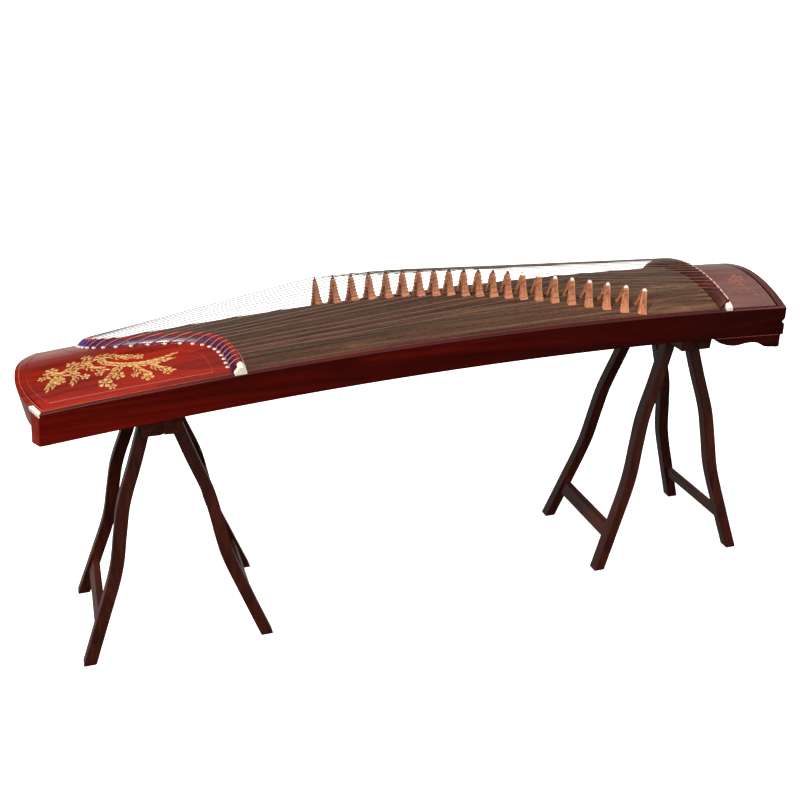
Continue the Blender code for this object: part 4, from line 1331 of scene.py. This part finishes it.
def bridge_tip_shell(number):
    """The tip of a bridge, rounded over, with a notch for its string."""
    height = bridge_height(number) + GAP
    length = graded(TIP_LENGTHS, number)

    def place(u, v, w):
        across, lengthwise = 2 * v - 1, 2 * u - 1
        y = across * TIP_HALF_WIDTH * lerp(1.0, 0.55, w)
        x = lengthwise * length / 2 * lerp(1.0, 0.66, w)
        crown = 1 - 0.20 * across * across - 0.25 * lengthwise ** 2
        top = height * (0.885 + 0.115 * crown)
        if w == 1 and abs(across) < 0.2:
            top -= 0.0004
        return *askew(number, x, y, 1.0), lerp(0.87 * height, top, w)

    return block((6, 6, 3), place)


def make_bridges(paint):
    for number in range(STRING_COUNT):
        body = f"bridge_{number + 1:02d}"
        x, y = bridge_x(number), string_y(number)
        place = INSTRUMENT @ Matrix.Translation((x, y, board_top(x, y) - BOARD_RECESS + GAP))
        add_piece(f"carved_{body}", bridge_shell(number), body, "bridge_wood",
                  [paint["bridge_wood"]], [body], place, bevel=0.0009)
        stuff = paint["bone" if number < BONE_TIPS else "horn"]
        add_piece(f"tip_of_{body}", bridge_tip_shell(number), body, "bone", [stuff], (),
                  place, bevel=0.0007, segments=2)


def pin_shell():
    """A turned steel pin: threaded shank, shoulder, and a tapered six-sided head."""
    shank = [(0, -0.020), (0.0014, -0.020), (0.0021, -0.0185)]
    for turn in range(8):
        z = -0.017 + turn * 0.0018
        shank += [(0.0023, z), (0.0020, z + 0.0009)]
    shank += [(0.0023, -0.002), (0.0025, 0.0), (0.0025, 0.0105), (0.0020, 0.0113),
              (0, 0.0113)]
    return lathe(shank, 20)


def pin_head_shell():
    return lathe(((0, 0.0100), (0.0020, 0.0100), (0.0019, 0.0176), (0.0015, 0.0180),
                  (0, 0.0180)), 6)


def coil(middle_z, turns, radius, thickness, count=96):
    """String wound round a pin."""
    path = []
    for step in range(count + 1):
        turn = 2 * math.pi * turns * step / count
        z = middle_z + (step / count - 0.5) * turns * 2.05 * thickness
        path.append((radius * math.cos(turn), radius * math.sin(turn), z))
    return tube(path, thickness, 6)


def make_pins(paint):
    for number in range(STRING_COUNT):
        x, y = pin_x(number), string_y(number)
        place = INSTRUMENT @ Matrix.Translation((x, y, block_top(x, y)))
        body = f"tuning_pin_{number + 1:02d}"
        pin = Build().add(pin_shell()).add(pin_head_shell())
        add_piece(f"steel_{body}", pin, body, "pin_steel", [paint["pin_steel"]], [body], place)
        thickness = graded(STRING_RADII, number)
        winding = coil(0.0072, 4.25, PIN_RADIUS + thickness, thickness)
        add_piece(f"winding_{number + 1:02d}", winding, body, "string_steel",
                  [paint["string_steel"]], (), place, sharp=60)


# ---------------------------------------------------------------- the stands

def make_frame(name, side, stand, body, paint):
    """Half of a folding stand: a bar, two S-shaped legs and a stretcher."""
    height = stand_top(0, stand[0])
    scale = height / STAND_HEIGHT
    place_at = Matrix.Translation((*stand, 0))
    legs_wood, bar_wood = paint["stand_wood"], paint["stand_bar_wood"]

    def place_bar(u, v, w):
        level = (0.0, HINGE_GROOVE / BAR_HEIGHT, 1.0)[round(w * 2)]
        near = GAP / 2 + (HINGE_GROOVE if level == 0.0 else 0.0)
        x = side * lerp(near, lerp(BAR_FOOT_WIDTH, BAR_WIDTH, level), u)
        z = lerp(height - BAR_HEIGHT, stand_top(x, stand[0]), level)
        return x, lerp(-BAR_HALF_LENGTH, BAR_HALF_LENGTH, v), z

    add_piece(f"{name}_bar", block((2, 1, 2), place_bar), body, "stand_wood", [bar_wood],
              [name], place_at, bevel=0.0014)
    for end, word in ((-1, "near"), (1, "far")):

        def place_leg(u, v, w, end=end):
            z = w * LEG_OUTLINE[-1][0]
            outer = lerp(LEG_FOOT_Y, LEG_TOP_Y, w)
            x = side * (smooth_path(LEG_OUTLINE, z) + (u - 0.5) * LEG_SIZE)
            return x, end * (outer - v * LEG_SIZE), z * scale

        add_piece(f"{name}_leg_{word}", block((1, 1, 56), place_leg), body, "stand_wood",
                  [legs_wood], (), place_at, bevel=0.0022)

    def place_stretcher(u, v, w):
        z = STRETCHER_HEIGHT + (w - 0.5) * STRETCHER_SIZE[1]
        x = side * (smooth_path(LEG_OUTLINE, z) + (u - 0.5) * STRETCHER_SIZE[0])
        outer = lerp(LEG_FOOT_Y, LEG_TOP_Y, z / LEG_OUTLINE[-1][0]) - LEG_SIZE / 2
        return x, lerp(-outer, outer, v), z * scale

    add_piece(f"{name}_stretcher", block((1, 1, 4), place_stretcher), body, "stand_wood",
              [bar_wood], (), place_at, bevel=0.0018)


def hinge_barrel_shell():
    """A long hinge barrel of turned knuckles, lying along Y."""
    points = [(0, -HINGE_HALF_LENGTH), (HINGE_RADIUS * 0.8, -HINGE_HALF_LENGTH)]
    knuckles = 12
    pitch = 2 * HINGE_HALF_LENGTH / knuckles
    for knuckle in range(knuckles):
        low = -HINGE_HALF_LENGTH + knuckle * pitch
        points += [(HINGE_RADIUS, low + 0.0004), (HINGE_RADIUS, low + pitch - 0.0006),
                   (HINGE_RADIUS * 0.82, low + pitch - 0.0003)]
    points += [(HINGE_RADIUS * 0.8, HINGE_HALF_LENGTH), (0, HINGE_HALF_LENGTH)]
    return lathe(points, 16, Matrix.Rotation(math.radians(90), 4, "X"))


def make_stands(paint):
    for name, stand, moving in (("tail_stand", TAIL_STAND, "tail_stand_right"),
                                ("head_stand", HEAD_STAND, "head_stand_right")):
        make_frame(f"{name}_frame_left", -1, stand, "stands", paint)
        make_frame(f"{name}_frame_right", 1, stand, moving, paint)
        hinge_height = stand_top(0, stand[0]) - BAR_HEIGHT
        add_piece(f"{name}_hinge_barrel", hinge_barrel_shell(), "stands", "hinge_brass",
                  [paint["hinge_brass"]], [f"{name}_hinge_rod"],
                  Matrix.Translation((*stand, hinge_height)))


# ---------------------------------------------------------------- studio

CAMERA_PLACE = (-0.6962, -1.9519, 1.3635)
CAMERA_ANGLES = (18.68, 24.10, 1.24)    # degrees: its heading, how far down it looks, its roll
CAMERA_LENS = 46.35


def make_camera():
    """At the photograph's angle."""
    yaw, pitch, roll = (math.radians(angle) for angle in CAMERA_ANGLES)
    forward = Vector((math.sin(yaw) * math.cos(pitch), math.cos(yaw) * math.cos(pitch),
                      -math.sin(pitch)))
    level = Vector((math.cos(yaw), -math.sin(yaw), 0))
    upward = level.cross(forward)
    right = level * math.cos(roll) + upward * math.sin(roll)
    up = upward * math.cos(roll) - level * math.sin(roll)
    data = bpy.data.cameras.new("camera")
    data.sensor_width = 36.0
    data.lens = CAMERA_LENS
    camera = bpy.data.objects.new("camera", data)
    bpy.context.scene.collection.objects.link(camera)
    turn = Matrix((right, up, -forward)).transposed().to_4x4()
    camera.matrix_world = Matrix.Translation(CAMERA_PLACE) @ turn
    bpy.context.scene.camera = camera


# Grey levels of the studio against the sine of a direction's height, or its share of +X or +Y
CEILING = ((-1.0, 0.02), (0.45, 0.03), (0.70, 0.25), (0.9, 0.5), (1.0, 0.5))
HORIZON_GLOW = ((-1.0, 0.18), (-0.35, 0.30), (-0.05, 0.62), (0.08, 0.45), (0.20, 0.10),
                (0.32, 0.0))
GLOW_BEHIND = ((0.2, 0.0), (0.8, 1.0))
FRONT_FILL = ((-0.10, 0.0), (0.10, 1.2), (0.60, 1.2), (0.80, 0.3))
FILL_BEFORE = ((-0.5, 1.0), (0.0, 0.0))
FILL_AT_HEAD = ((0.5, 0.0), (0.85, 0.6))
# Each lamp's strength, angular size in degrees, and heading
SUNS = (("soft_sun", 0.9, 45, (0.45, 0.35, -1.0)), ("key_sun", 2.0, 4, (0.62, 0.30, -1.0)))


def make_studio():
    scene = bpy.context.scene
    scene.view_settings.view_transform = "Standard"
    world = bpy.data.worlds.new("studio")
    scene.world = world
    world.use_nodes = True
    nodes = Nodes(world.node_tree)
    background = world.node_tree.nodes["Background"]
    split = nodes.add("SeparateXYZ", Vector=nodes.add("TexCoord").outputs["Generated"])

    def gradient(letter, stops):
        """Grey levels against the sine of a direction's height, or of its share of +X or +Y."""
        shifted = nodes.span(split.outputs[letter], -1.0, 1.0, 0.0, 1.0)
        return nodes.ramp(shifted, [((value + 1) / 2, (grey, grey * 0.96, grey * 0.93))
                                    for value, grey in stops])

    glow = nodes.mix(1.0, gradient("Z", HORIZON_GLOW), gradient("Y", GLOW_BEHIND), "MULTIPLY")
    fill = nodes.mix(1.0, gradient("Z", FRONT_FILL), gradient("Y", FILL_BEFORE), "MULTIPLY")
    beside = nodes.mix(1.0, gradient("Z", FRONT_FILL), gradient("X", FILL_AT_HEAD), "MULTIPLY")
    sky = gradient("Z", CEILING)
    for light in (glow, nodes.mix(1.0, fill, beside, "ADD")):
        sky = nodes.mix(1.0, sky, light, "ADD")
    seen = nodes.add("LightPath").outputs["Is Camera Ray"]
    backdrop = nodes.mix(seen, sky, (1.0, 1.0, 1.0))
    nodes.set(background, "Color", backdrop)
    nodes.set(background, "Strength", 1.0)
    for name, energy, spread, heading in SUNS:
        sun = bpy.data.lights.new(name, "SUN")
        sun.energy = energy
        sun.angle = math.radians(spread)
        lamp = bpy.data.objects.new(name, sun)
        scene.collection.objects.link(lamp)
        lamp.rotation_euler = Vector(heading).to_track_quat("-Z", "Y").to_euler()
    floor = Build().add(block((1, 1, 1), lambda u, v, w: (lerp(-60, 60, u), lerp(-20, 160, v),
                                                          lerp(-0.02, 0, w))))
    paint = Paint("pale_floor", Roughness=0.9, Specular_IOR_Level=0.1,
                  Emission_Color=(1.0, 1.0, 1.0), Emission_Strength=0.95)
    tint = paint.noise((2.0, 2.0, 2.0), 3.0)
    paint.finish(Base_Color=paint.ramp(tint, greys((0.3, 0.84), (0.7, 0.88))))
    obj = bpy.data.objects.new("floor", floor.mesh("floor"))
    obj.data.materials.append(paint.material)
    scene.collection.objects.link(obj)
    obj.visible_diffuse = False
    obj.visible_glossy = False


# ---------------------------------------------------------------- the whole object

make_camera()
PAINT = make_materials()
make_soundbox(PAINT)
make_decoration(PAINT)
make_lid(PAINT)
make_strings(PAINT)
make_bridges(PAINT)
make_pins(PAINT)
make_stands(PAINT)
make_studio()
